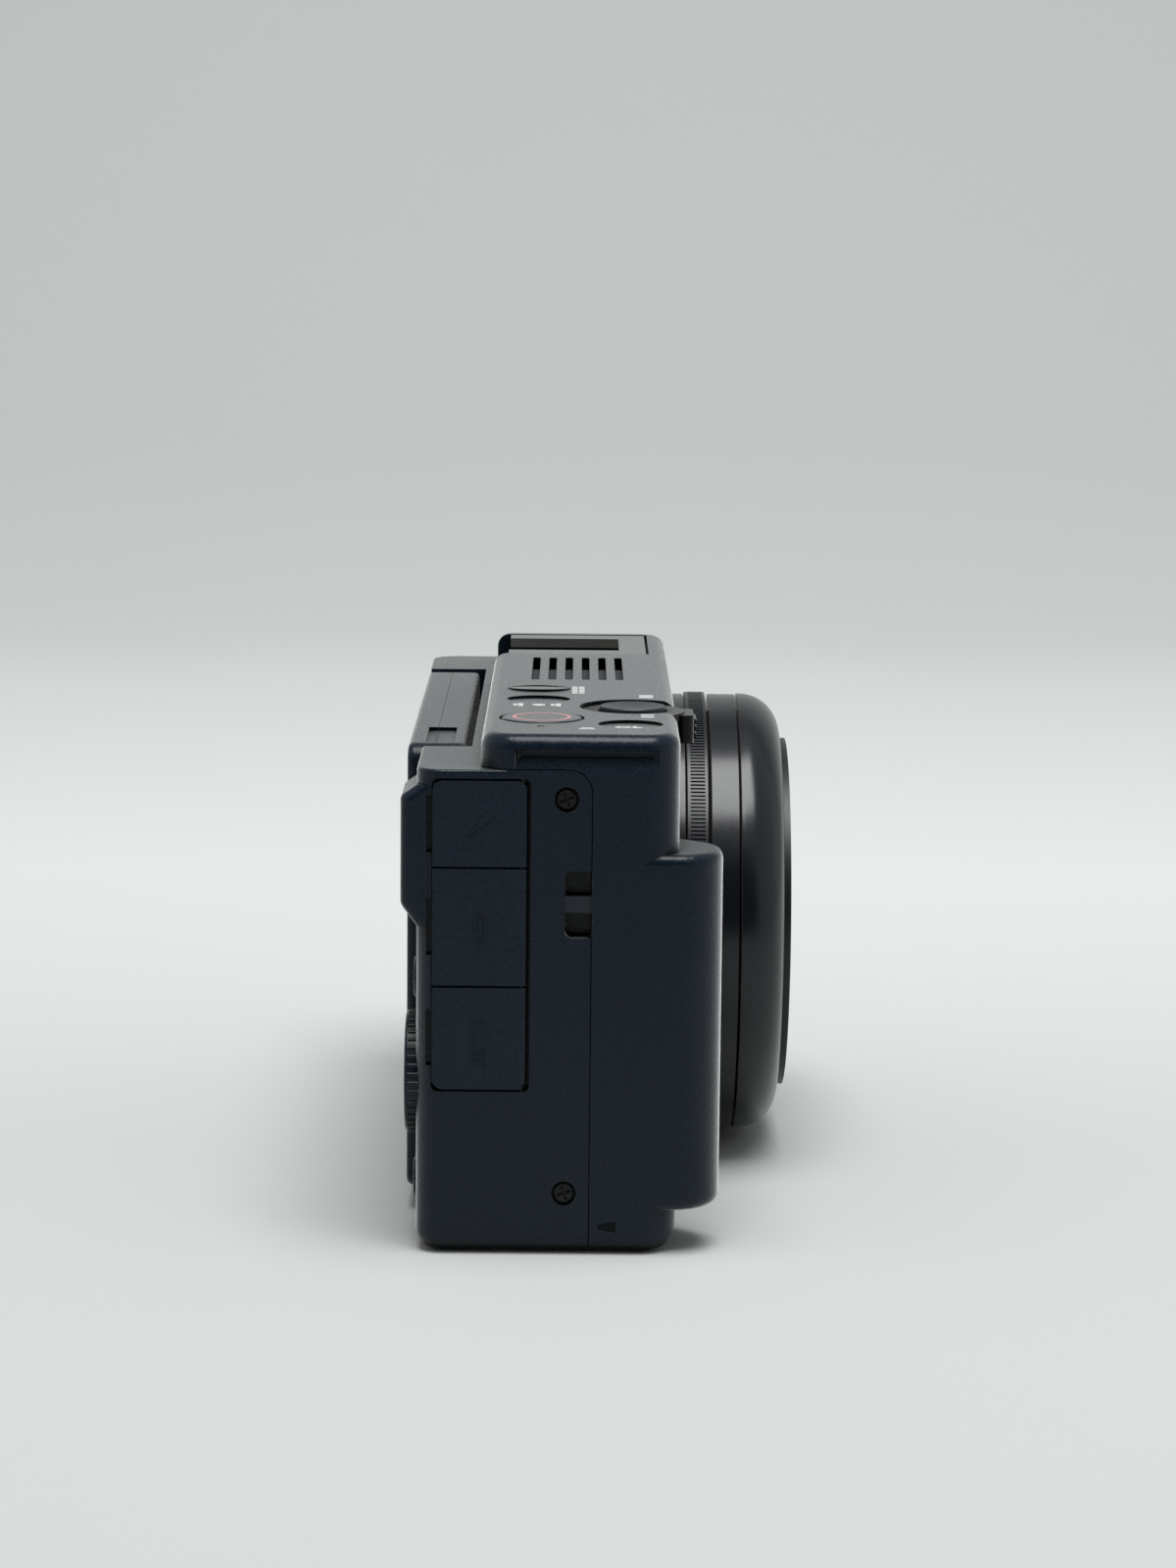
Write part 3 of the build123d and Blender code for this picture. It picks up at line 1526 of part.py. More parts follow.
def save_shoe():
    """Accessory shoe with its spring and its contact block."""
    floor_top = shoe_base_z + shoe_floor
    lip_base = floor_top + shoe_inner_height
    top = lip_base + shoe_lip
    low_x = shoe_x - shoe_half
    high_x = shoe_x + shoe_half
    shell = block(low_x, high_x, shoe_front_y, shoe_rear_y, shoe_base_z, top)
    tunnel_half = shoe_inner_width / 2
    rear = shoe_rear_y + 1
    shell -= block(shoe_x - tunnel_half, shoe_x + tunnel_half, shoe_front_y + 1, rear, floor_top, lip_base)
    slot_half = shoe_slot_width / 2
    slot_front_y = shoe_front_y + shoe_bridge_length
    shell -= block(shoe_x - slot_half, shoe_x + slot_half, slot_front_y, rear, lip_base - 0.5, top + 1)
    for side in (-1, 1):
        spring_x = shoe_x + side * (tunnel_half - shoe_spring_inset)
        shell += block(
            spring_x - shoe_spring_width / 2,
            spring_x + shoe_spring_width / 2,
            slot_front_y + 0.5,
            shoe_rear_y - 1.0,
            floor_top - 0.1,
            floor_top + shoe_spring_thickness,
        )
    save("shoe_rails", shell)
    base_block = block(
        shoe_x - slot_half,
        shoe_x + slot_half,
        shoe_front_y + 1.1,
        shoe_front_y + 1.1 + contact_block_length,
        floor_top,
        floor_top + contact_block_height,
    )
    pitch = (shoe_slot_width - 1.2) / (contact_count - 1)
    rear_face = shoe_front_y + 1.1 + contact_block_length
    for index in range(contact_count):
        x = shoe_x - slot_half + 0.6 + index * pitch
        base_block += block(x - 0.2, x + 0.2, rear_face - 0.1, rear_face + 1.2, floor_top, floor_top + 0.3)
    save("shoe_contact_block", base_block)


def save_microphones():
    """Foam and the three microphones under the grille."""
    rows = slot_rows()
    foam_base = deck_ceiling_z - foam_thickness
    front = rows[-1] - 1.2
    foam = block(slot_near_x - 0.8, slot_far_x + 0.6, front, rows[0] + 1.2, foam_base, deck_ceiling_z)
    save("microphone_foam", foam)
    middle_x = (slot_near_x + slot_far_x) / 2
    middle_y = (rows[0] + rows[-1]) / 2
    top = deck_ceiling_z - foam_thickness
    base = top_board_z + top_board_thickness
    capsules = [
        rod_z(capsule_radius, middle_x + index * capsule_pitch, middle_y, base, top) for index in (-1, 0, 1)
    ]
    save("microphones", Compound(capsules))


def save_top_board():
    """Circuit board under the deck, with a switch below each button."""
    front = inner_front_y + 1.6
    rear = deck_rear_y - wall - 0.8
    top = top_board_z + top_board_thickness
    board = block(top_board_near_x, top_board_far_x, front, rear, top_board_z, top)
    save("top_board", board)


def save_shutter():
    """Shutter button, zoom lever and their seats."""
    cap = rod_z(shutter_radius, shutter_x, shutter_y, shutter_top_z - shutter_cap, shutter_top_z)
    rim = cap.edges().filter_by(GeomType.CIRCLE).group_by(Axis.Z)[-1]
    cap = fillet(rim, 0.2)
    dish_radius = shutter_radius ** 2 / (2 * shutter_dish)
    cap -= Pos(shutter_x, shutter_y, shutter_top_z - shutter_dish + dish_radius) * Sphere(dish_radius)
    stem_base = top_board_z + top_board_thickness + 0.9
    cap += rod_z(shutter_stem_radius, shutter_x, shutter_y, stem_base, shutter_top_z - shutter_cap + 0.1)
    save("shutter_button", cap)
    low = collar_floor_z + seat_gap
    high = low + lever_ring_thickness
    outer = collar_radius - 0.3
    lever = rod_z(outer, shutter_x, shutter_y, low, high)
    tab_rear_y = front_y - lever_tab_standoff
    half = lever_arm_width / 2
    lever += block(shutter_x - half, shutter_x + half, tab_rear_y - 0.5, shutter_y - 3, low, high)
    lever -= rod_z(shutter_radius + button_gap, shutter_x, shutter_y, low - 1, high + 1)
    tab_top = deck_z + lever_tab_rise
    tab = rounded_block(
        shutter_x - lever_tab_width / 2,
        shutter_x + lever_tab_width / 2,
        tab_rear_y - lever_tab_depth + lever_rib_depth,
        tab_rear_y,
        tab_top - lever_tab_height,
        tab_top,
        0.7,
    )
    rib_pitch = lever_tab_height / (lever_rib_count + 1)
    for index in range(lever_rib_count):
        rib_z = tab_top - (index + 1) * rib_pitch
        tab += rod_x(
            lever_rib_depth,
            tab_rear_y - lever_tab_depth + lever_rib_depth,
            rib_z,
            shutter_x - lever_tab_width / 2 + 0.8,
            shutter_x + lever_tab_width / 2 - 0.8,
        )
    save("zoom_lever", lever + tab)


def flanged_oval(x, y, length, width, near_rise, far_drop):
    """Oval press button with a top that slopes down towards the far side, and a hidden flange."""
    top = deck_z - button_sink + near_rise
    base = deck_z - button_body
    body = oval_solid(x, y, length, width, base, top)
    slope = math.degrees(math.atan2(far_drop, length))
    trim = Pos(length / 2, 0, width / 2) * Box(3 * length, 2 * width, width)
    body -= Pos(x - length / 2, y, top) * Rot(0, slope, 0) * trim
    flange = oval_solid(x, y, length + 2 * button_flange, width + 2 * button_flange, base, button_flange_z)
    rear = deck_rear_y - wall - button_gap
    room = block(x - length, x + length, inner_front_y + button_gap, rear, base, top)
    return body + (flange & room)


def save_deck_buttons():
    """Record, defocus, mode and power buttons."""
    base = deck_z - button_body
    record = rod_z(record_radius - button_gap - 0.1, record_x, record_y, base, deck_z + record_rise)
    rim = record.edges().filter_by(GeomType.CIRCLE).group_by(Axis.Z)[-1]
    record = fillet(rim, record_rim_radius)
    record += rod_z(record_radius + 0.15, record_x, record_y, base, button_flange_z)
    save("record_button", record)
    rise = defocus_rise + button_sink
    save("defocus_button", flanged_oval(defocus_x, oval_y, oval_length, oval_width, rise, rise))
    save("mode_button", flanged_oval(mode_x, oval_y, oval_length, oval_width, 0, oval_far_sink))
    save("power_button", flanged_oval(power_x, power_y, power_length, power_width, 0, oval_far_sink))


def save_rear_controls():
    """Control wheel, centre button and the small buttons on the rear."""
    disc_radius = wheel_radius - wheel_tooth_radius / 2
    wheel = rod_y(disc_radius, wheel_x, wheel_z, wheel_rear_y - wheel_thickness, wheel_rear_y)
    rim = wheel.edges().filter_by(GeomType.CIRCLE).group_by(Axis.Y)[-1]
    wheel = fillet(rim, 0.35)
    teeth = []
    for index in range(wheel_tooth_count):
        angle = 2 * math.pi * index / wheel_tooth_count
        reach = wheel_radius - wheel_tooth_radius
        x = wheel_x + reach * math.cos(angle)
        z = wheel_z + reach * math.sin(angle)
        teeth.append(rod_y(wheel_tooth_radius, x, z, wheel_rear_y - wheel_thickness, wheel_rear_y - 0.4))
    wheel += teeth
    hub_front_y = wheel_hub_front_y()
    wheel += rod_y(wheel_hub_radius, wheel_x, wheel_z, hub_front_y, wheel_rear_y - wheel_thickness + 0.1)
    wheel -= rod_y(centre_button_radius + button_gap, wheel_x, wheel_z, hub_front_y - 1, wheel_rear_y + 1)
    save("control_wheel", wheel)
    centre = rod_y(centre_button_radius, wheel_x, wheel_z, hub_front_y, centre_button_rear_y)
    rim = centre.edges().filter_by(GeomType.CIRCLE).group_by(Axis.Y)[-1]
    save("centre_button", fillet(rim, 0.3))
    button_front_y = inner_rear_y - rear_plunger_length()
    for name, x, z in rear_button_places():
        button = rod_y(rear_button_radius, x, z, button_front_y, rear_y + rear_button_rise)
        rim = button.edges().filter_by(GeomType.CIRCLE).group_by(Axis.Y)[-1]
        button = fillet(rim, 0.25)
        button += rod_y(rear_button_radius + 0.5, x, z, button_front_y - 0.5, button_front_y)
        save(name, button)


def save_small_parts():
    """Front lamp, lamp in the deck, speaker and cord cover."""
    front_lamp = rod_y(tally_radius, tally_x, tally_z, front_y - 0.1, front_y + tally_length)
    deck_lamp = rod_z(lamp_radius, lamp_x, lamp_y, deck_ceiling_z, deck_z - 0.05)
    save("indicator_lamps", Compound([front_lamp, deck_lamp]))
    speaker_x = inner_far_x - seat_gap
    speaker = rod_x(speaker_radius, speaker_y, speaker_z, speaker_x - speaker_thickness, speaker_x)
    save("speaker", speaker)
    cover_front_x = near_x + seat_gap
    cover = cord_cover_wedge(0, cover_front_x, cover_front_x + cord_cover_thickness)
    save("cord_cover", cover)


def main():
    """Write every piece of the camera."""
    os.makedirs("parts", exist_ok=True)
    shell = body_envelope() - display_bay() - scoop() - cavity()
    save("front_casing", front_casing(shell))
    save("rear_casing", rear_casing(shell))
    save_port_doors()
    save_sockets()
    save_side_screws()
    save_strap_lugs()
    save_display()
    save_display_hinge()
    save_lens_rings()
    save_lens_core()
    save_sensor()
    save_chassis()
    save_battery_parts()
    save_battery_door()
    save_base_fittings()
    save_shoe()
    save_microphones()
    save_top_board()
    save_shutter()
    save_deck_buttons()
    save_rear_controls()
    save_small_parts()


main()
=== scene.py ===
# %% [markdown]
# # A compact video camera, dressed in Blender
# The imported model is the fixed frame: every hard piece of the camera is already there, at its real
# size. This script gives each one its finish, adds the printed and raised marks, and sets up the
# studio. First the frame is loaded.

# %% Load the frame
import json
import math
import bmesh
import bpy
from mathutils import Matrix, Vector


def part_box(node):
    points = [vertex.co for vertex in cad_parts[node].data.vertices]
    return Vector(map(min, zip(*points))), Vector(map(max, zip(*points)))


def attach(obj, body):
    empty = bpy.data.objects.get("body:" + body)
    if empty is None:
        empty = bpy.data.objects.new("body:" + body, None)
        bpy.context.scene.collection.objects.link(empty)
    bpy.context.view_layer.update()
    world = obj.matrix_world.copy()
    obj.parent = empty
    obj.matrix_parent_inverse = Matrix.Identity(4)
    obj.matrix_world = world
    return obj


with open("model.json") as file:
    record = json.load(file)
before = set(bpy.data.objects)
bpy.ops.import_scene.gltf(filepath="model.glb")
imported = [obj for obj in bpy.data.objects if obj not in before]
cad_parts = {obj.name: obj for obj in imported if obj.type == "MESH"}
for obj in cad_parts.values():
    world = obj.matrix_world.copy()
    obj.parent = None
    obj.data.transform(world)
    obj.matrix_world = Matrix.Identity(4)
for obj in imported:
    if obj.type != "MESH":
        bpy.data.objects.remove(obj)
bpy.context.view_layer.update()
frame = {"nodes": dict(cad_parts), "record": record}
nodes = frame["nodes"]
MM = 0.001
print("pieces in the frame:", len(nodes))

# %% [markdown]
# ## Helpers
# Colours are picked as on a paint card, in sRGB hex, and Blender wants linear values. A shader tree
# is a handful of nodes, so one small function adds a node, sets it up and links it.

# %% Colour and node helpers
def colour(code):
    """Linear colour, with alpha, of an sRGB hex code."""
    parts = [int(code[i:i + 2], 16) / 255 for i in (1, 3, 5)]
    linear = [c / 12.92 if c <= 0.04045 else ((c + 0.055) / 1.055) ** 2.4 for c in parts]
    return (*linear, 1.0)


def add(tree, kind, inputs=None, **settings):
    """Adds a node, sets its properties and fills its sockets with values or links."""
    node = tree.nodes.new(kind)
    for name, value in settings.items():
        setattr(node, name, value)
    for name, value in (inputs or {}).items():
        if isinstance(value, bpy.types.NodeSocket):
            tree.links.new(value, node.inputs[name])
        else:
            node.inputs[name].default_value = value
    return node


def new_material(name):
    """An empty material with its shader and output joined."""
    material = bpy.data.materials.new(name)
    material.use_nodes = True
    tree = material.node_tree
    tree.nodes.clear()
    shader = add(tree, "ShaderNodeBsdfPrincipled")
    add(tree, "ShaderNodeOutputMaterial", {"Surface": shader.outputs["BSDF"]})
    return material, tree, shader


def grain(tree, size_mm, detail=3.0):
    """Noise whose lumps are about one size across."""
    place = add(tree, "ShaderNodeTexCoord")
    return add(tree, "ShaderNodeTexNoise", {
        "Vector": place.outputs["Object"], "Scale": 1 / (size_mm * MM), "Detail": detail,
        "Roughness": 0.6}).outputs["Fac"]


def roughen(tree, shader, pattern, low, high, span=(0.0, 1.0)):
    """Lets a pattern take the roughness from low to high."""
    gloss = add(tree, "ShaderNodeMapRange", {
        "Value": pattern, "From Min": span[0], "From Max": span[1], "To Min": low, "To Max": high})
    tree.links.new(gloss.outputs["Result"], shader.inputs["Roughness"])


def emboss(tree, shader, pattern, strength, depth_mm):
    """Lets a pattern raise and lower the surface."""
    relief = add(tree, "ShaderNodeBump", {
        "Height": pattern, "Strength": strength, "Distance": depth_mm * MM})
    tree.links.new(relief.outputs["Normal"], shader.inputs["Normal"])


# %% [markdown]
# ## Moulded plastic
# The casings are injection-moulded polycarbonate with a spark-eroded mould texture: a fine grain
# that catches light as tiny specks. Noise on Object coordinates keeps the grain at one real size on
# every piece. The real grain is about 0.1 mm and would vanish at this distance, so it is drawn
# coarser, from its size in millimetres. Seen at a low angle the grain scatters light like a fine
# nap, which a sheen gives: the deck looks pale from the side while the side itself stays dark.
# Narrow hollows, such as the groove under the deck's lip, get painted shade: an occlusion mask
# darkens their colour and takes away their nap.

# %% Moulded plastic
PLASTIC_SPECULAR = 0.2
NAP_ROUGHNESS = 0.31
GRAIN_SPAN = (0.3, 0.7)
GRAIN_DEPTH_MM = 0.06
SPECK_DEPTH = 0.3
GLOSS_SPREAD = 0.04
BROAD_MM = 9.0

# Painted shade in hollows: a spot is judged by the walls within this reach. It is painted darkest where
# the open share of its view is the first number or less, and isn't darkened from the second number on.
PAINTED_SHADE_REACH_MM = 2.0
PAINTED_SHADE_SPAN = (0.5, 0.92)
PAINTED_SHADE_DARKEST = 0.03
PAINTED_SHADE_SAMPLES = 8


def moulded_plastic(name, code, shade_code, grain_mm, rough, bump):
    """Textured plastic: two close tones with specks, uneven gloss and painted shade in hollows."""
    material, tree, shader = new_material(name)
    fine = grain(tree, grain_mm)
    broad = grain(tree, BROAD_MM, 2.0)
    tone = add(tree, "ShaderNodeMix", {
        "Factor": broad, "A": colour(code), "B": colour(shade_code)}, data_type="RGBA")
    specks = add(tree, "ShaderNodeMapRange", {
        "Value": fine, "From Min": GRAIN_SPAN[0], "From Max": GRAIN_SPAN[1],
        "To Min": 1 - SPECK_DEPTH, "To Max": 1 + SPECK_DEPTH})
    # Painted shade: an occlusion mask darkens the colour in hollows and weakens the sheen there.
    occlusion = add(tree, "ShaderNodeAmbientOcclusion", {
        "Distance": PAINTED_SHADE_REACH_MM * MM}, samples=PAINTED_SHADE_SAMPLES)
    painted_shade_factor = add(tree, "ShaderNodeMapRange", {
        "Value": occlusion.outputs["AO"], "From Min": PAINTED_SHADE_SPAN[0], "From Max": PAINTED_SHADE_SPAN[1],
        "To Min": PAINTED_SHADE_DARKEST})
    strength = add(tree, "ShaderNodeMath", {
        0: specks.outputs["Result"], 1: painted_shade_factor.outputs["Result"]}, operation="MULTIPLY")
    tone_with_painted_shade = add(tree, "ShaderNodeVectorMath", {
        0: tone.outputs["Result"], "Scale": strength.outputs["Value"]}, operation="SCALE")
    tree.links.new(tone_with_painted_shade.outputs["Vector"], shader.inputs["Base Color"])
    tree.links.new(painted_shade_factor.outputs["Result"], shader.inputs["Sheen Weight"])
    roughen(tree, shader, fine, rough - GLOSS_SPREAD, rough + GLOSS_SPREAD, GRAIN_SPAN)
    emboss(tree, shader, fine, bump, GRAIN_DEPTH_MM)
    shader.inputs["Specular IOR Level"].default_value = PLASTIC_SPECULAR
    shader.inputs["Sheen Roughness"].default_value = NAP_ROUGHNESS
    return material


casing = moulded_plastic("moulded_polycarbonate_casing", "#0a1521", "#0d1a27", 0.4, 0.26, 0.6)
door_plastic = moulded_plastic("moulded_elastomer_doors", "#0d1924", "#111f2b", 0.6, 0.34, 1.0)
display_plastic = moulded_plastic("moulded_polycarbonate_display", "#0a151f", "#0d1a26", 0.4, 0.26, 0.5)
cap_plastic = moulded_plastic("satin_button_caps", "#161f29", "#1a232d", 0.3, 0.28, 0.2)
lever_plastic = moulded_plastic("matt_lever_tab", "#090c10", "#0c1015", 0.3, 0.5, 0.3)
inner_plastic = moulded_plastic("matt_black_inner_plastic", "#0b0c0e", "#0f1012", 0.3, 0.7, 0.3)
cover_rubber = moulded_plastic("moulded_rubber_cover", "#020304", "#030405", 0.3, 0.8, 0.4)
latch_plastic = moulded_plastic("moulded_latch", "#20252b", "#24292f", 0.3, 0.5, 0.3)
card_plastic = moulded_plastic("moulded_card", "#1c2746", "#202c4c", 0.3, 0.45, 0.3)
battery_wrap = moulded_plastic("moulded_battery_case", "#1b1c1e", "#1f2022", 0.4, 0.5, 0.3)

# %% [markdown]
# ## Lens rings
# The lens barrel is turned aluminium with a satin black coat. Turning leaves fine rings round the
# lens axis, which stretch a highlight along the barrel. They are drawn about a millimetre apart, so
# that they show at this distance. A wave pattern on the distance from the axis would show on the
# faces and not on the rims, so stripes along Y serve both.

# %% Coated metal
COAT_SPECULAR = 0.42
COAT_SHEEN = 0.08
COAT_CLOUD_MM = 1.2
COAT_GLOSS_SPREAD = 0.05
TURNED_DEPTH_MM = 0.01

# The wave texture runs through 20 radians in one unit, and here one radian is 0.18 mm.
WAVE_RADIANS = 20
TURNED_RADIAN_MM = 0.18


def coated_metal(name, code, rough, metallic, stripe_strength):
    """Satin black coat over turned metal, with faint turning marks."""
    material, tree, shader = new_material(name)
    place = add(tree, "ShaderNodeTexCoord")
    turning = add(tree, "ShaderNodeTexWave", {
        "Vector": place.outputs["Object"], "Scale": 1 / (TURNED_RADIAN_MM * MM) / WAVE_RADIANS,
        "Distortion": 0.4, "Detail": 2.0}, wave_type="BANDS", bands_direction="Y")
    cloud = grain(tree, COAT_CLOUD_MM)
    roughen(tree, shader, cloud, rough - COAT_GLOSS_SPREAD, rough + COAT_GLOSS_SPREAD)
    emboss(tree, shader, turning.outputs["Fac"], stripe_strength, TURNED_DEPTH_MM)
    shader.inputs["Base Color"].default_value = colour(code)
    shader.inputs["Metallic"].default_value = metallic
    shader.inputs["Specular IOR Level"].default_value = COAT_SPECULAR
    shader.inputs["Sheen Weight"].default_value = COAT_SHEEN
    return material


lens_coat = coated_metal("satin_coated_aluminium_lens_ring", "#0d0f16", 0.22, 0.1, 0.2)
ring_coat = coated_metal("satin_coated_ribbed_ring", "#12151c", 0.3, 0.1, 0.2)
filter_coat = coated_metal("matt_coated_filter_ring", "#0f1217", 0.4, 0.1, 0.3)
blade_coat = coated_metal("blackened_steel_blades", "#111215", 0.5, 0.8, 0.1)
screw_coat = coated_metal("blackened_steel_screws", "#0d0f12", 0.42, 0.4, 0.1)
pin_coat = coated_metal("blackened_steel_pins", "#141d27", 0.4, 0.1, 0.1)

# %% [markdown]
# ## Bare metal
# The shoe is stamped steel with a satin nickel coat, as are the sockets' shells. The contacts are
# gold plate, the tripod bush is turned brass and the chassis is pressed aluminium. Their colour is
# in the reflection, so they are metallic, with fine brushed streaks that change the roughness.

# %% Bare metal
STREAK_SHAPE = (0.06, 1.0, 1.0)
STREAK_SMOOTHER = 0.08
STREAK_ROUGHER = 0.1
STREAK_BUMP = 0.15
STREAK_DEPTH_MM = 0.01


def bare_metal(name, code, rough, streak_mm):
    """Metal with fine streaks along X."""
    material, tree, shader = new_material(name)
    place = add(tree, "ShaderNodeTexCoord")
    stretched = add(tree, "ShaderNodeMapping", {
        "Vector": place.outputs["Object"], "Scale": STREAK_SHAPE})
    streaks = add(tree, "ShaderNodeTexNoise", {
        "Vector": stretched.outputs["Vector"], "Scale": 1 / (streak_mm * MM), "Detail": 2.0})
    roughen(tree, shader, streaks.outputs["Fac"], rough - STREAK_SMOOTHER, rough + STREAK_ROUGHER)
    emboss(tree, shader, streaks.outputs["Fac"], STREAK_BUMP, STREAK_DEPTH_MM)
    shader.inputs["Base Color"].default_value = colour(code)
    shader.inputs["Metallic"].default_value = 1.0
    return material


shoe_nickel = bare_metal("satin_nickel_shoe", "#a6a8a6", 0.42, 0.25)
socket_steel = bare_metal("stamped_socket_shells", "#b4b4b6", 0.28, 0.2)
gold_plate = bare_metal("gold_plated_contacts", "#d8b667", 0.3, 0.2)
turned_brass = bare_metal("turned_brass_bush", "#bfa06a", 0.34, 0.2)
pressed_aluminium = bare_metal("pressed_aluminium_chassis", "#b9babb", 0.4, 0.3)

# %% [markdown]
# ## Glass, screen and lamps
# The display is covered by a sheet of tinted toughened glass, which looks black and mirror-smooth
# when the panel is off: a dark base under a clear coat. The lens glass is clear and lets light
# through, with a slight blue tint in place of the colour of its coating.

# %% Glass and gloss
CLOUD_MM = 6.0
POLISH_SPREAD = 0.2
GLASS_SPREAD = 0.3
COAT_ROUGHNESS = 0.03
GLASS_IOR = 1.5


def cloudy_gloss(tree, shader, rough, spread):
    """Faint clouds in a polished surface's roughness."""
    roughen(tree, shader, grain(tree, CLOUD_MM, 1.0), rough * (1 - spread), rough * (1 + spread))


def smooth_shade(name, code, rough, coat=0.0, metallic=0.0):
    """Polished surface with a faint cloudiness in its gloss."""
    material, tree, shader = new_material(name)
    cloudy_gloss(tree, shader, rough, POLISH_SPREAD)
    shader.inputs["Base Color"].default_value = colour(code)
    shader.inputs["Metallic"].default_value = metallic
    shader.inputs["Coat Weight"].default_value = coat
    shader.inputs["Coat Roughness"].default_value = COAT_ROUGHNESS
    return material


def clear_glass(name, code, rough):
    """Clear coated glass with a slight tint."""
    material, tree, shader = new_material(name)
    cloudy_gloss(tree, shader, rough, GLASS_SPREAD)
    shader.inputs["Base Color"].default_value = colour(code)
    shader.inputs["Transmission Weight"].default_value = 1.0
    shader.inputs["IOR"].default_value = GLASS_IOR
    return material


screen_glass = smooth_shade("toughened_black_display_glass", "#050608", 0.06, 1.0)
screen_panel = smooth_shade("switched_off_display_panel", "#0a0b0e", 0.2, 0.3)
lens_glass = clear_glass("coated_lens_glass", "#cdd6e6", 0.02)
sensor_chip = smooth_shade("polished_sensor_chip", "#27303a", 0.1, 0.5, 0.4)
lamp_lens = smooth_shade("diffusing_lamp_lens", "#5a2a22", 0.25, 0.5)
shutter_cap = smooth_shade("satin_metallised_shutter_cap", "#3a3d42", 0.38, 0.0, 0.5)
capsule_can = smooth_shade("drawn_aluminium_can", "#b0b1b3", 0.35, 0.0, 1.0)

# %% [markdown]
# ## Circuit boards and foam
# Solder mask is a green lacquer over copper tracks, so the tracks show as slightly lighter stripes.
# They are the joints of a brick pattern, which has four rows in one unit. The microphone foam is
# open-cell polyurethane: dark, with deep pores that swallow light.

# %% Boards and foam
TRACK_PITCH_MM = 1.1
TRACK_WIDTH = 0.04
BRICK_ROWS = 4
PORE_MM = 0.4
PORE_DEPTH_MM = 0.1


def solder_mask():
    """Green lacquer over faint tracks."""
    material, tree, shader = new_material("green_solder_mask")
    place = add(tree, "ShaderNodeTexCoord")
    tracks = add(tree, "ShaderNodeTexBrick", {
        "Vector": place.outputs["Object"], "Color1": colour("#0f5a38"), "Color2": colour("#116341"),
        "Mortar": colour("#1b7a50"), "Scale": 1 / (TRACK_PITCH_MM * MM) / BRICK_ROWS,
        "Mortar Size": TRACK_WIDTH})
    shader.inputs["Roughness"].default_value = 0.35
    tree.links.new(tracks.outputs["Color"], shader.inputs["Base Color"])
    return material


def open_foam():
    """Dark foam with pores."""
    material, tree, shader = new_material("open_cell_foam")
    place = add(tree, "ShaderNodeTexCoord")
    pores = add(tree, "ShaderNodeTexVoronoi", {
        "Vector": place.outputs["Object"], "Scale": 1 / (PORE_MM * MM)})
    emboss(tree, shader, pores.outputs["Distance"], 1.0, PORE_DEPTH_MM)
    shader.inputs["Base Color"].default_value = colour("#3b3e41")
    shader.inputs["Roughness"].default_value = 0.95
    return material


board_mask = solder_mask()
microphone_foam = open_foam()

# %% [markdown]
# ## Pad print
# The symbols on the deck are pad-printed in off-white ink and the ring on the record button in dull
# red. Both are matt and slightly uneven, because the ink sits on the plastic's grain.

# %% Ink
INK_GRAIN_MM = 0.3
INK_BUMP = 0.4
THIN_INK = "#8f9091"


def ink(name, code):
    """Pad-printed ink, thin enough for the grain to show."""
    material, tree, shader = new_material(name)
    fine = grain(tree, INK_GRAIN_MM)
    thin = add(tree, "ShaderNodeMix", {
        "Factor": fine, "A": colour(code), "B": colour(THIN_INK)}, data_type="RGBA")
    emboss(tree, shader, fine, INK_BUMP, GRAIN_DEPTH_MM)
    shader.inputs["Roughness"].default_value = 0.55
    tree.links.new(thin.outputs["Result"], shader.inputs["Base Color"])
    return material


white_ink = ink("off_white_pad_print", "#e8eaea")
red_ink = ink("dull_red_pad_print", "#cc7674")

# %% [markdown]
# ## Dress the frame
# The record names one finish for each node. Each name gets its Blender material here, so every CAD
# piece is dressed by one loop and none is forgotten. The shoe's channel gets one more touch: below
# its lips it fades into shade.

# %% Dress every CAD piece
SHADE_FADE_MM = 0.4
SHOE_LIP_MM = 1.2
SHOE_SHADE = "#10100a"


def box_mm(node):
    """The lowest and highest corner of a node's box, in millimetres."""
    return [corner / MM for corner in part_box(node)]


def shade_below(material, height_mm, code):
    """Darkens a finish below a height, where a deep channel sees no light."""
    tree = material.node_tree
    shader = next(node for node in tree.nodes if node.type == "BSDF_PRINCIPLED")
    place = add(tree, "ShaderNodeTexCoord")
    parts = add(tree, "ShaderNodeSeparateXYZ", {"Vector": place.outputs["Object"]})
    above = add(tree, "ShaderNodeMapRange", {
        "Value": parts.outputs["Z"], "From Min": (height_mm - SHADE_FADE_MM) * MM,
        "From Max": height_mm * MM})
    tone = add(tree, "ShaderNodeMix", {
        "Factor": above.outputs["Result"], "A": colour(code),
        "B": tuple(shader.inputs["Base Color"].default_value)}, data_type="RGBA")
    tree.links.new(tone.outputs["Result"], shader.inputs["Base Color"])


shade_below(shoe_nickel, box_mm("shoe_rails")[1].z - SHOE_LIP_MM, SHOE_SHADE)

finishes = {
    "casing": casing, "door": door_plastic, "cover_rubber": cover_rubber,
    "display_shell": display_plastic, "display_glass": screen_glass, "screen": screen_panel,
    "steel": pin_coat, "screw": screw_coat, "socket_metal": socket_steel,
    "circuit_board": board_mask, "lens_ring": lens_coat, "control_ring": ring_coat,
    "filter_ring": filter_coat, "lens_inner": inner_plastic, "lens_glass": lens_glass,
    "blade": blade_coat, "sensor": sensor_chip, "chassis": pressed_aluminium,
    "battery": battery_wrap, "holder": inner_plastic, "card": card_plastic, "latch": latch_plastic,
    "brass_insert": turned_brass, "shoe": shoe_nickel, "contacts": gold_plate,
    "foam": microphone_foam, "capsule": capsule_can, "lamp": lamp_lens, "shutter": shutter_cap,
    "lever": lever_plastic, "deck_button": cap_plastic, "record": cap_plastic,
    "wheel": cap_plastic, "rear_button": cap_plastic,
}
for part in frame["record"]["subparts"]:
    for place in nodes[part["node"]].material_slots:
        place.material = finishes[part["material_slot"]]
print("finishes:", len(finishes))

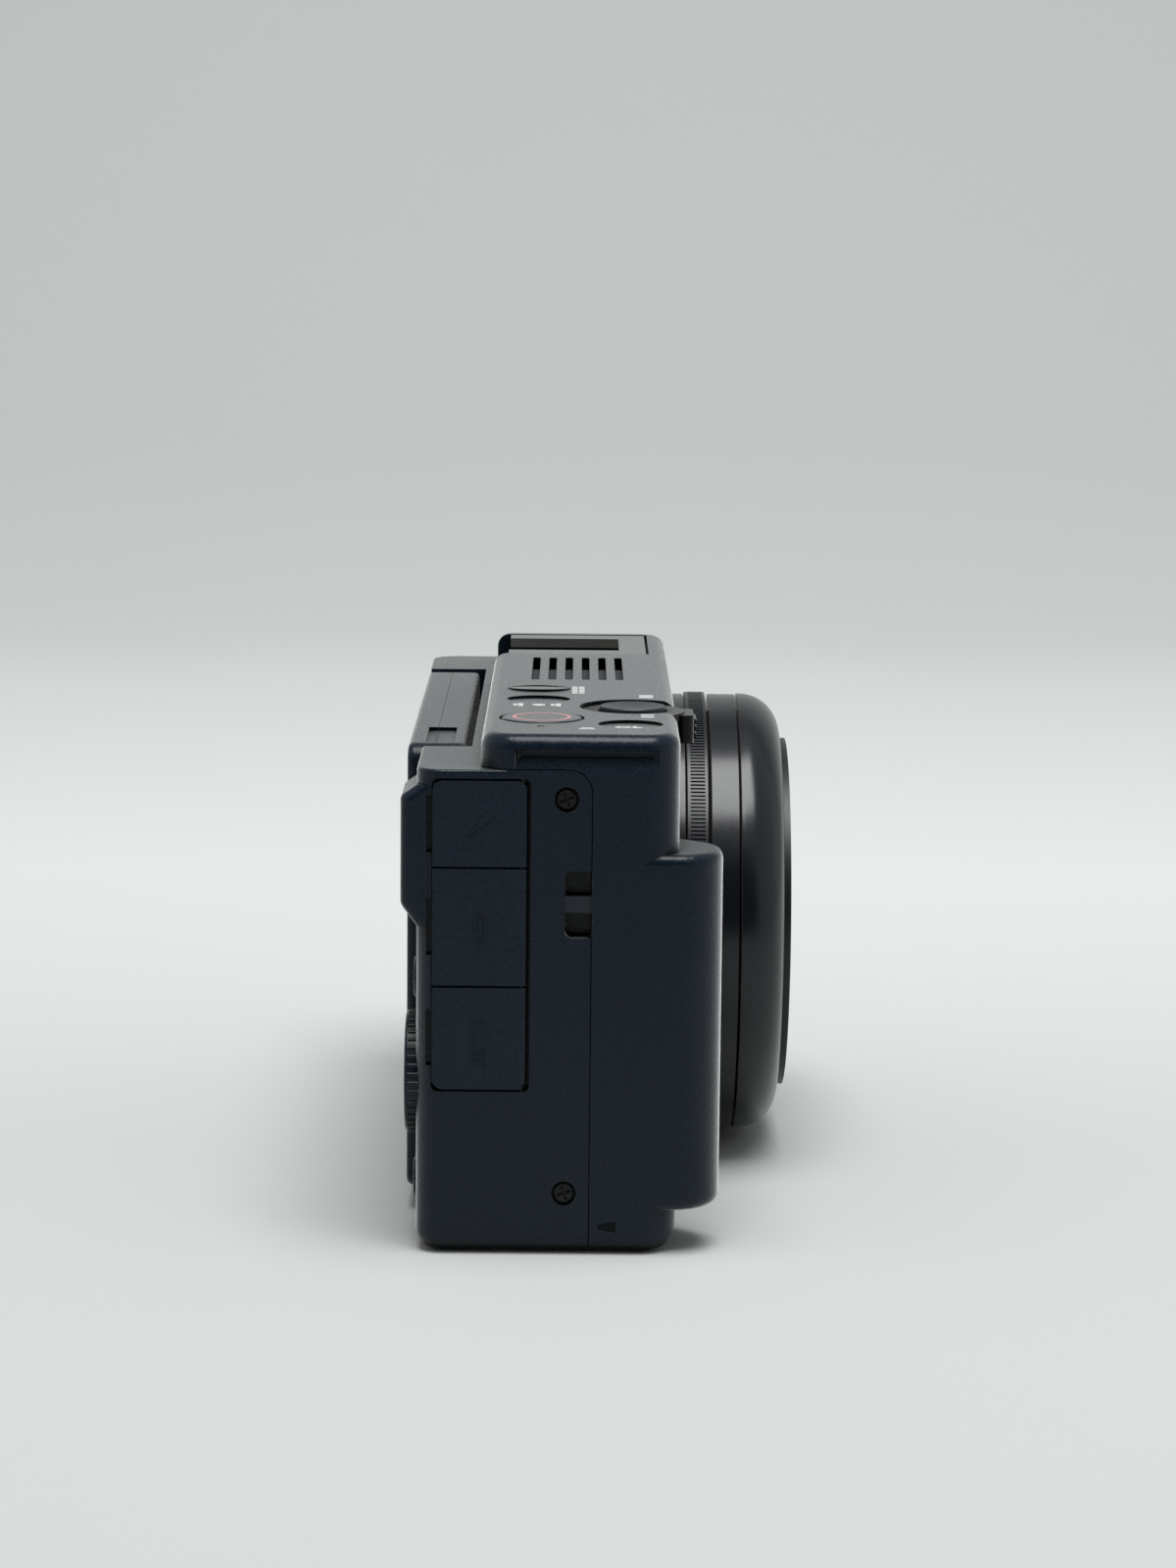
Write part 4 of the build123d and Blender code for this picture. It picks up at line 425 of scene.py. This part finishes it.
# %% [markdown]
# ## Small printed and raised marks
# Ink is a few hundredths of a millimetre thick, and a raised symbol under a tenth. Each mark is
# drawn flat with bmesh, given its thickness by solidify, and laid on the surface that carries it.
# Plain shapes stand where a camera has its symbols: bars, dots, rings, a triangle and outlines.

# %% Flat shapes
INK_MM = 0.02
EMBOSS_MM = 0.08


def bar(mesh, x, y, length, width, turn=0.0):
    """A flat bar, turned in degrees."""
    place = Matrix.Translation((x, y, 0)) @ Matrix.Rotation(math.radians(turn), 4, "Z")
    size = Matrix.Diagonal((length, width, 1, 1))
    bmesh.ops.create_grid(mesh, x_segments=1, y_segments=1, size=0.5, matrix=place @ size)


def disc(mesh, x, y, radius, sides=24):
    """A flat disc; three sides make a triangle."""
    place = Matrix.Translation((x, y, 0))
    bmesh.ops.create_circle(mesh, cap_ends=True, segments=sides, radius=radius, matrix=place)


def ring(mesh, x, y, outer, inner, sides=64):
    """A flat ring: a disc whose middle is inset and taken out."""
    place = Matrix.Translation((x, y, 0))
    made = bmesh.ops.create_circle(mesh, cap_ends=True, segments=sides, radius=outer, matrix=place)
    face = made["verts"][0].link_faces[0]
    bmesh.ops.inset_individual(mesh, faces=[face], thickness=outer - inner, use_even_offset=False)
    bmesh.ops.delete(mesh, geom=[face], context="FACES")


def lay(mesh, name, thickness, place, material, body):
    """Gives flat shapes their thickness, lays them in place and rides them on a body."""
    bmesh.ops.solidify(mesh, geom=mesh.faces[:], thickness=thickness)
    bmesh.ops.recalc_face_normals(mesh, faces=mesh.faces[:])
    lowest = min(corner.co.z for corner in mesh.verts)
    seat = Matrix.Scale(MM, 4) @ place @ Matrix.Translation((0, 0, -lowest))
    bmesh.ops.transform(mesh, matrix=seat, verts=mesh.verts)
    data = bpy.data.meshes.new(name)
    mesh.to_mesh(data)
    mesh.free()
    piece = bpy.data.objects.new(name, data)
    bpy.context.scene.collection.objects.link(piece)
    data.materials.append(material)
    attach(piece, body)


# %% [markdown]
# The marks on the deck are placed in millimetres, x towards the far side and y towards the rear.
# They stand a little apart from their button, as words and symbols do on a camera. The ink is sunk
# by a quarter of its thickness, so that it holds to the deck. The power button's top falls away
# from its near edge, so its symbol lies on that slope.

# %% Symbols on the deck
DECK = box_mm("front_casing")[1].z
PRINT = DECK - INK_MM / 4
WORD_X, WORD_Y, WORD_STEP, WORD_ROW = -13.4, 3.25, 1.35, 0.42
MODE_X = -27.1

marks = bmesh.new()
# In front of the defocus button: two rows of five blocks in place of a word.
for row in (-WORD_ROW, WORD_ROW):
    for step in range(-2, 3):
        bar(marks, WORD_X + step * WORD_STEP, WORD_Y + row, 0.95, 0.7)
# Between the mode button and the record button: two pairs of bars with a dot between them.
for y in (10.05, 5.6):
    bar(marks, MODE_X, y, 2.4, 0.6)
    bar(marks, MODE_X, y + 0.65, 1.6, 0.5)
disc(marks, MODE_X, 7.9, 0.8)
# On both sides of the zoom lever: two blocks each.
for x in (-19.6, -18.2):
    bar(marks, x, -4.9, 1.1, 1.7)
for x in (-36.9, -35.2):
    bar(marks, x, -4.8, 0.9, 1.5)
# Between the record button and the power button, near the deck's edge.
bar(marks, -47.3, 2.25, 0.6, 1.8)
bar(marks, -46.4, 2.25, 0.5, 1.4)
lay(marks, "deck_symbols", INK_MM, Matrix.Translation((0, 0, PRINT)), white_ink,
    "camera_body")

# %% Symbols on the buttons
POWER_SINK_MM = 0.25
power_low, power_high = box_mm("power_button")
power_slope = math.atan2(POWER_SINK_MM, power_high.x - power_low.x)
power_seat = (
    Matrix.Translation((power_low.x, 0, power_high.z)) @ Matrix.Rotation(power_slope, 4, "Y")
    @ Matrix.Translation((-power_low.x, 0, 0)))
power_marks = bmesh.new()
ring(power_marks, -44.2, -1.9, 0.95, 0.45, 32)
bar(power_marks, -44.0, -3.2, 2.0, 0.45)
bar(power_marks, -44.7, -3.75, 0.8, 0.7)
lay(power_marks, "power_symbol", INK_MM, power_seat, white_ink, "power_button_body")

RECORD_RING_OUTER, RECORD_RING_INNER = 3.45, 2.95
record_low, record_high = box_mm("record_button")
record_middle = (record_low + record_high) / 2
record_ring = bmesh.new()
ring(record_ring, record_middle.x, record_middle.y, RECORD_RING_OUTER, RECORD_RING_INNER)
lay(record_ring, "record_ring_print", INK_MM, Matrix.Translation((0, 0, record_high.z)), red_ink,
    "record_button_body")
print("deck print laid at", round(DECK, 2), "mm")

# %% [markdown]
# The port doors carry raised symbols in the same material as the door. They are a slanted
# microphone, and the outlines of the two sockets behind the other doors.

# %% Raised symbols on the port doors
def outline(mesh, x, y, length, width, line):
    """A rectangular frame: a bar whose middle is inset and taken out."""
    place = Matrix.Translation((x, y, 0)) @ Matrix.Diagonal((length, width, 1, 1))
    made = bmesh.ops.create_grid(mesh, x_segments=1, y_segments=1, size=0.5, matrix=place)
    face = made["verts"][0].link_faces[0]
    bmesh.ops.inset_individual(mesh, faces=[face], thickness=line)
    bmesh.ops.delete(mesh, geom=[face], context="FACES")


def near_side(node):
    """Matrix that lays a flat shape on a door's outer face, its x to the front and its y up."""
    low, high = box_mm(node)
    turn = Matrix(((0, 0, -1, 0), (-1, 0, 0, 0), (0, 1, 0, 0), (0, 0, 0, 1)))
    return Matrix.Translation((low.x, (low.y + high.y) / 2, (low.z + high.z) / 2)) @ turn


microphone_mark = bmesh.new()
bar(microphone_mark, 0.5, 0.5, 1.9, 0.85, 45)
bar(microphone_mark, -0.75, -0.75, 1.6, 0.35, 45)
lay(microphone_mark, "microphone_symbol", EMBOSS_MM, near_side("microphone_door"), door_plastic,
    "microphone_door_body")

data_mark = bmesh.new()
outline(data_mark, 0, 0, 1.3, 3.2, 0.3)
bar(data_mark, 0, 0, 0.3, 1.9)
lay(data_mark, "data_port_symbol", EMBOSS_MM, near_side("data_port_door"), door_plastic,
    "data_port_door_body")

video_mark = bmesh.new()
outline(video_mark, 0, 0.3, 1.5, 3.6, 0.3)
for y in (-2.1, -2.8):
    bar(video_mark, 0, y, 1.5, 0.25)
lay(video_mark, "video_port_symbol", EMBOSS_MM, near_side("video_port_door"), door_plastic,
    "video_port_door_body")

# %% Symbols on the rear
def rear_face(node):
    """Matrix that lays a flat shape on the rear of a node, its x to the near side and its y up."""
    low, high = box_mm(node)
    turn = Matrix(((-1, 0, 0, 0), (0, 0, 1, 0), (0, 1, 0, 0), (0, 0, 0, 1)))
    return Matrix.Translation(((low.x + high.x) / 2, high.y, (low.z + high.z) / 2)) @ turn


def print_on_rear(mesh, use):
    """Prints a symbol on the rear button of that use."""
    lay(mesh, f"{use}_symbol", INK_MM, rear_face(f"{use}_button"), white_ink,
        f"{use}_button_body")


play_mark = bmesh.new()
disc(play_mark, 0, 0, 0.85, 3)
print_on_rear(play_mark, "playback")

menu_mark = bmesh.new()
for y in (-0.6, 0, 0.6):
    bar(menu_mark, 0, y, 1.7, 0.25)
print_on_rear(menu_mark, "menu")

delete_mark = bmesh.new()
for turn in (45, -45):
    bar(delete_mark, 0, 0, 1.7, 0.25, turn)
print_on_rear(delete_mark, "delete")

function_mark = bmesh.new()
disc(function_mark, 0, 0, 0.45)
print_on_rear(function_mark, "function")

# %% [markdown]
# ## Studio
# The camera stands on a sheet of pale seamless paper that runs back and curves up behind it. The
# paper is one strip: a row of points for its side view, spun out sideways by an extrusion. A large
# soft lamp hangs overhead and a pale room fills in. The room is dark on the near side, where the
# photographer stood, so the camera's near side keeps its dark colour.

# %% Paper sweep
PAPER_HALF_M = 1.6
PAPER_FRONT_M = -1.2
PAPER_BEND_M = 0.55
PAPER_BEND_RADIUS_M = 0.35
PAPER_BEND_STEPS = 12
PAPER_TOP_M = 1.6

paper_mesh = bmesh.new()
profile = [(PAPER_FRONT_M, 0.0), (PAPER_BEND_M, 0.0)]
for step in range(1, PAPER_BEND_STEPS + 1):
    angle = math.radians(90 * step / PAPER_BEND_STEPS)
    profile.append((
        PAPER_BEND_M + PAPER_BEND_RADIUS_M * math.sin(angle),
        PAPER_BEND_RADIUS_M * (1 - math.cos(angle))))
profile.append((PAPER_BEND_M + PAPER_BEND_RADIUS_M, PAPER_TOP_M))
row = [paper_mesh.verts.new((x, -PAPER_HALF_M, z)) for x, z in profile]
edges = [paper_mesh.edges.new(pair) for pair in zip(row, row[1:])]
swept = bmesh.ops.extrude_edge_only(paper_mesh, edges=edges)
moved = [item for item in swept["geom"] if isinstance(item, bmesh.types.BMVert)]
bmesh.ops.translate(paper_mesh, verts=moved, vec=(0, 2 * PAPER_HALF_M, 0))
bmesh.ops.reverse_faces(paper_mesh, faces=paper_mesh.faces[:])
paper_data = bpy.data.meshes.new("paper_sweep")
paper_mesh.to_mesh(paper_data)
paper_mesh.free()
for face in paper_data.polygons:
    face.use_smooth = True
paper = bpy.data.objects.new("paper_sweep", paper_data)
bpy.context.scene.collection.objects.link(paper)

# %% Paper
# Painted light and shade on the paper: each tone with its way back along the floor and up the wall,
# in metres: X and height together.
PAPER_PAINTED_LIGHT_TONES = [
    (-0.3, "#b6b8b7"), (0.0, "#bfc1c0"), (0.2, "#d5d7d6"),
    (0.45, "#d8dad9"), (0.75, "#d0d2d1"), (1.6, "#e0e2e1")]
FIBRES_PER_M = 600.0
FIBRE_BUMP = 0.05
FIBRE_DEPTH_MM = 0.2


def seamless_paper():
    """Matt paper with painted light and shade: greyest on the near side, brighter behind the camera and
    up the wall.
    """
    material, tree, shader = new_material("seamless_paper")
    place = add(tree, "ShaderNodeTexCoord")
    parts = add(tree, "ShaderNodeSeparateXYZ", {"Vector": place.outputs["Object"]})
    along = add(tree, "ShaderNodeMath", {
        0: parts.outputs["X"], 1: parts.outputs["Z"]}, operation="ADD")
    start, end = PAPER_PAINTED_LIGHT_TONES[0][0], PAPER_PAINTED_LIGHT_TONES[-1][0]
    span = add(tree, "ShaderNodeMapRange", {
        "Value": along.outputs["Value"], "From Min": start, "From Max": end})
    tones = add(tree, "ShaderNodeValToRGB", {"Fac": span.outputs["Result"]})
    stops = tones.color_ramp.elements
    for index, (distance, code) in enumerate(PAPER_PAINTED_LIGHT_TONES):
        spot = (distance - start) / (end - start)
        # A new ramp already has two stops.
        stop = stops[index] if index < 2 else stops.new(spot)
        stop.position = spot
        stop.color = colour(code)
    fibre = add(tree, "ShaderNodeTexNoise", {
        "Vector": place.outputs["Object"], "Scale": FIBRES_PER_M, "Detail": 3.0})
    emboss(tree, shader, fibre.outputs["Fac"], FIBRE_BUMP, FIBRE_DEPTH_MM)
    tree.links.new(tones.outputs["Color"], shader.inputs["Base Color"])
    shader.inputs["Roughness"].default_value = 0.9
    shader.inputs["Specular IOR Level"].default_value = 0.1
    return material


paper_data.materials.append(seamless_paper())

# %% Lamp
LAMP_PLACE_M = (-0.18, -0.06, 0.88)
LAMP_AIM_M = (0.0, 0.0, 0.03)
LAMP_SIDE_M = 0.54
LAMP_WATTS = 8.8
LAMP_TINT = "#fefffe"

lamp_data = bpy.data.lights.new("overhead_soft_lamp", "AREA")
lamp_data.shape = "SQUARE"
lamp_data.size = LAMP_SIDE_M
lamp_data.energy = LAMP_WATTS
lamp_data.color = colour(LAMP_TINT)[:3]
lamp = bpy.data.objects.new("overhead_soft_lamp", lamp_data)
lamp.location = LAMP_PLACE_M
lamp_way = Vector(LAMP_AIM_M) - Vector(LAMP_PLACE_M)
lamp.rotation_euler = lamp_way.to_track_quat("-Z", "Y").to_euler()
bpy.context.scene.collection.objects.link(lamp)

# %% Room
# Each direction has an X from -1, straight to the near side, to 1. The room is dark up to the first
# X, lit from the second on, and fades between them.
ROOM_TINT = "#e4e6e6"
ROOM_FADE = (-0.9, -0.6)
ROOM_DARK = 0.02
ROOM_LIT = 0.64


def studio_room():
    """Pale room that is dark on the near side."""
    room = bpy.data.worlds.new("studio_room")
    room.use_nodes = True
    tree = room.node_tree
    tree.nodes.clear()
    place = add(tree, "ShaderNodeTexCoord")
    parts = add(tree, "ShaderNodeSeparateXYZ", {"Vector": place.outputs["Generated"]})
    strength = add(tree, "ShaderNodeMapRange", {
        "Value": parts.outputs["X"], "From Min": ROOM_FADE[0], "From Max": ROOM_FADE[1],
        "To Min": ROOM_DARK, "To Max": ROOM_LIT}, interpolation_type="SMOOTHSTEP")
    glow = add(tree, "ShaderNodeBackground", {
        "Color": colour(ROOM_TINT), "Strength": strength.outputs["Result"]})
    add(tree, "ShaderNodeOutputWorld", {"Surface": glow.outputs["Background"]})
    return room


bpy.context.scene.world = studio_room()

# %% [markdown]
# ## Camera
# The view was worked out from the photograph's straight edges: half a metre away and 6 cm above the
# deck, looking a little down and square at the side with the doors. The frame is 1600 pixels high.
# The angles are in radians.

# %% Camera
FOCAL_PX = 4100.0
IMAGE_HEIGHT_PX = 1600
SENSOR_MM = 36.0
CLIP_START_M = 0.01
VIEWPOINT = Vector((-0.49839, 0.003482, 0.12340))
PITCH = 0.153315
YAW = -0.003131
ROLL = 0.009510

lens = bpy.data.cameras.new("product_view")
lens.sensor_width = SENSOR_MM
lens.lens = SENSOR_MM * FOCAL_PX / IMAGE_HEIGHT_PX
lens.clip_start = CLIP_START_M
viewer = bpy.data.objects.new("product_view", lens)
ahead = Vector((math.cos(PITCH) * math.cos(YAW), math.cos(PITCH) * math.sin(YAW), -math.sin(PITCH)))
right = ahead.cross(Vector((0, 0, 1))).normalized()
above = right.cross(ahead)
tilted_right = math.cos(ROLL) * right + math.sin(ROLL) * above
tilted_up = math.cos(ROLL) * above - math.sin(ROLL) * right
viewer.matrix_world = Matrix((
    (tilted_right.x, tilted_up.x, -ahead.x, VIEWPOINT.x),
    (tilted_right.y, tilted_up.y, -ahead.y, VIEWPOINT.y),
    (tilted_right.z, tilted_up.z, -ahead.z, VIEWPOINT.z),
    (0, 0, 0, 1)))
bpy.context.scene.collection.objects.link(viewer)
bpy.context.scene.camera = viewer
bpy.context.scene.view_settings.view_transform = "Standard"
print("focal length", round(lens.lens, 2), "mm")
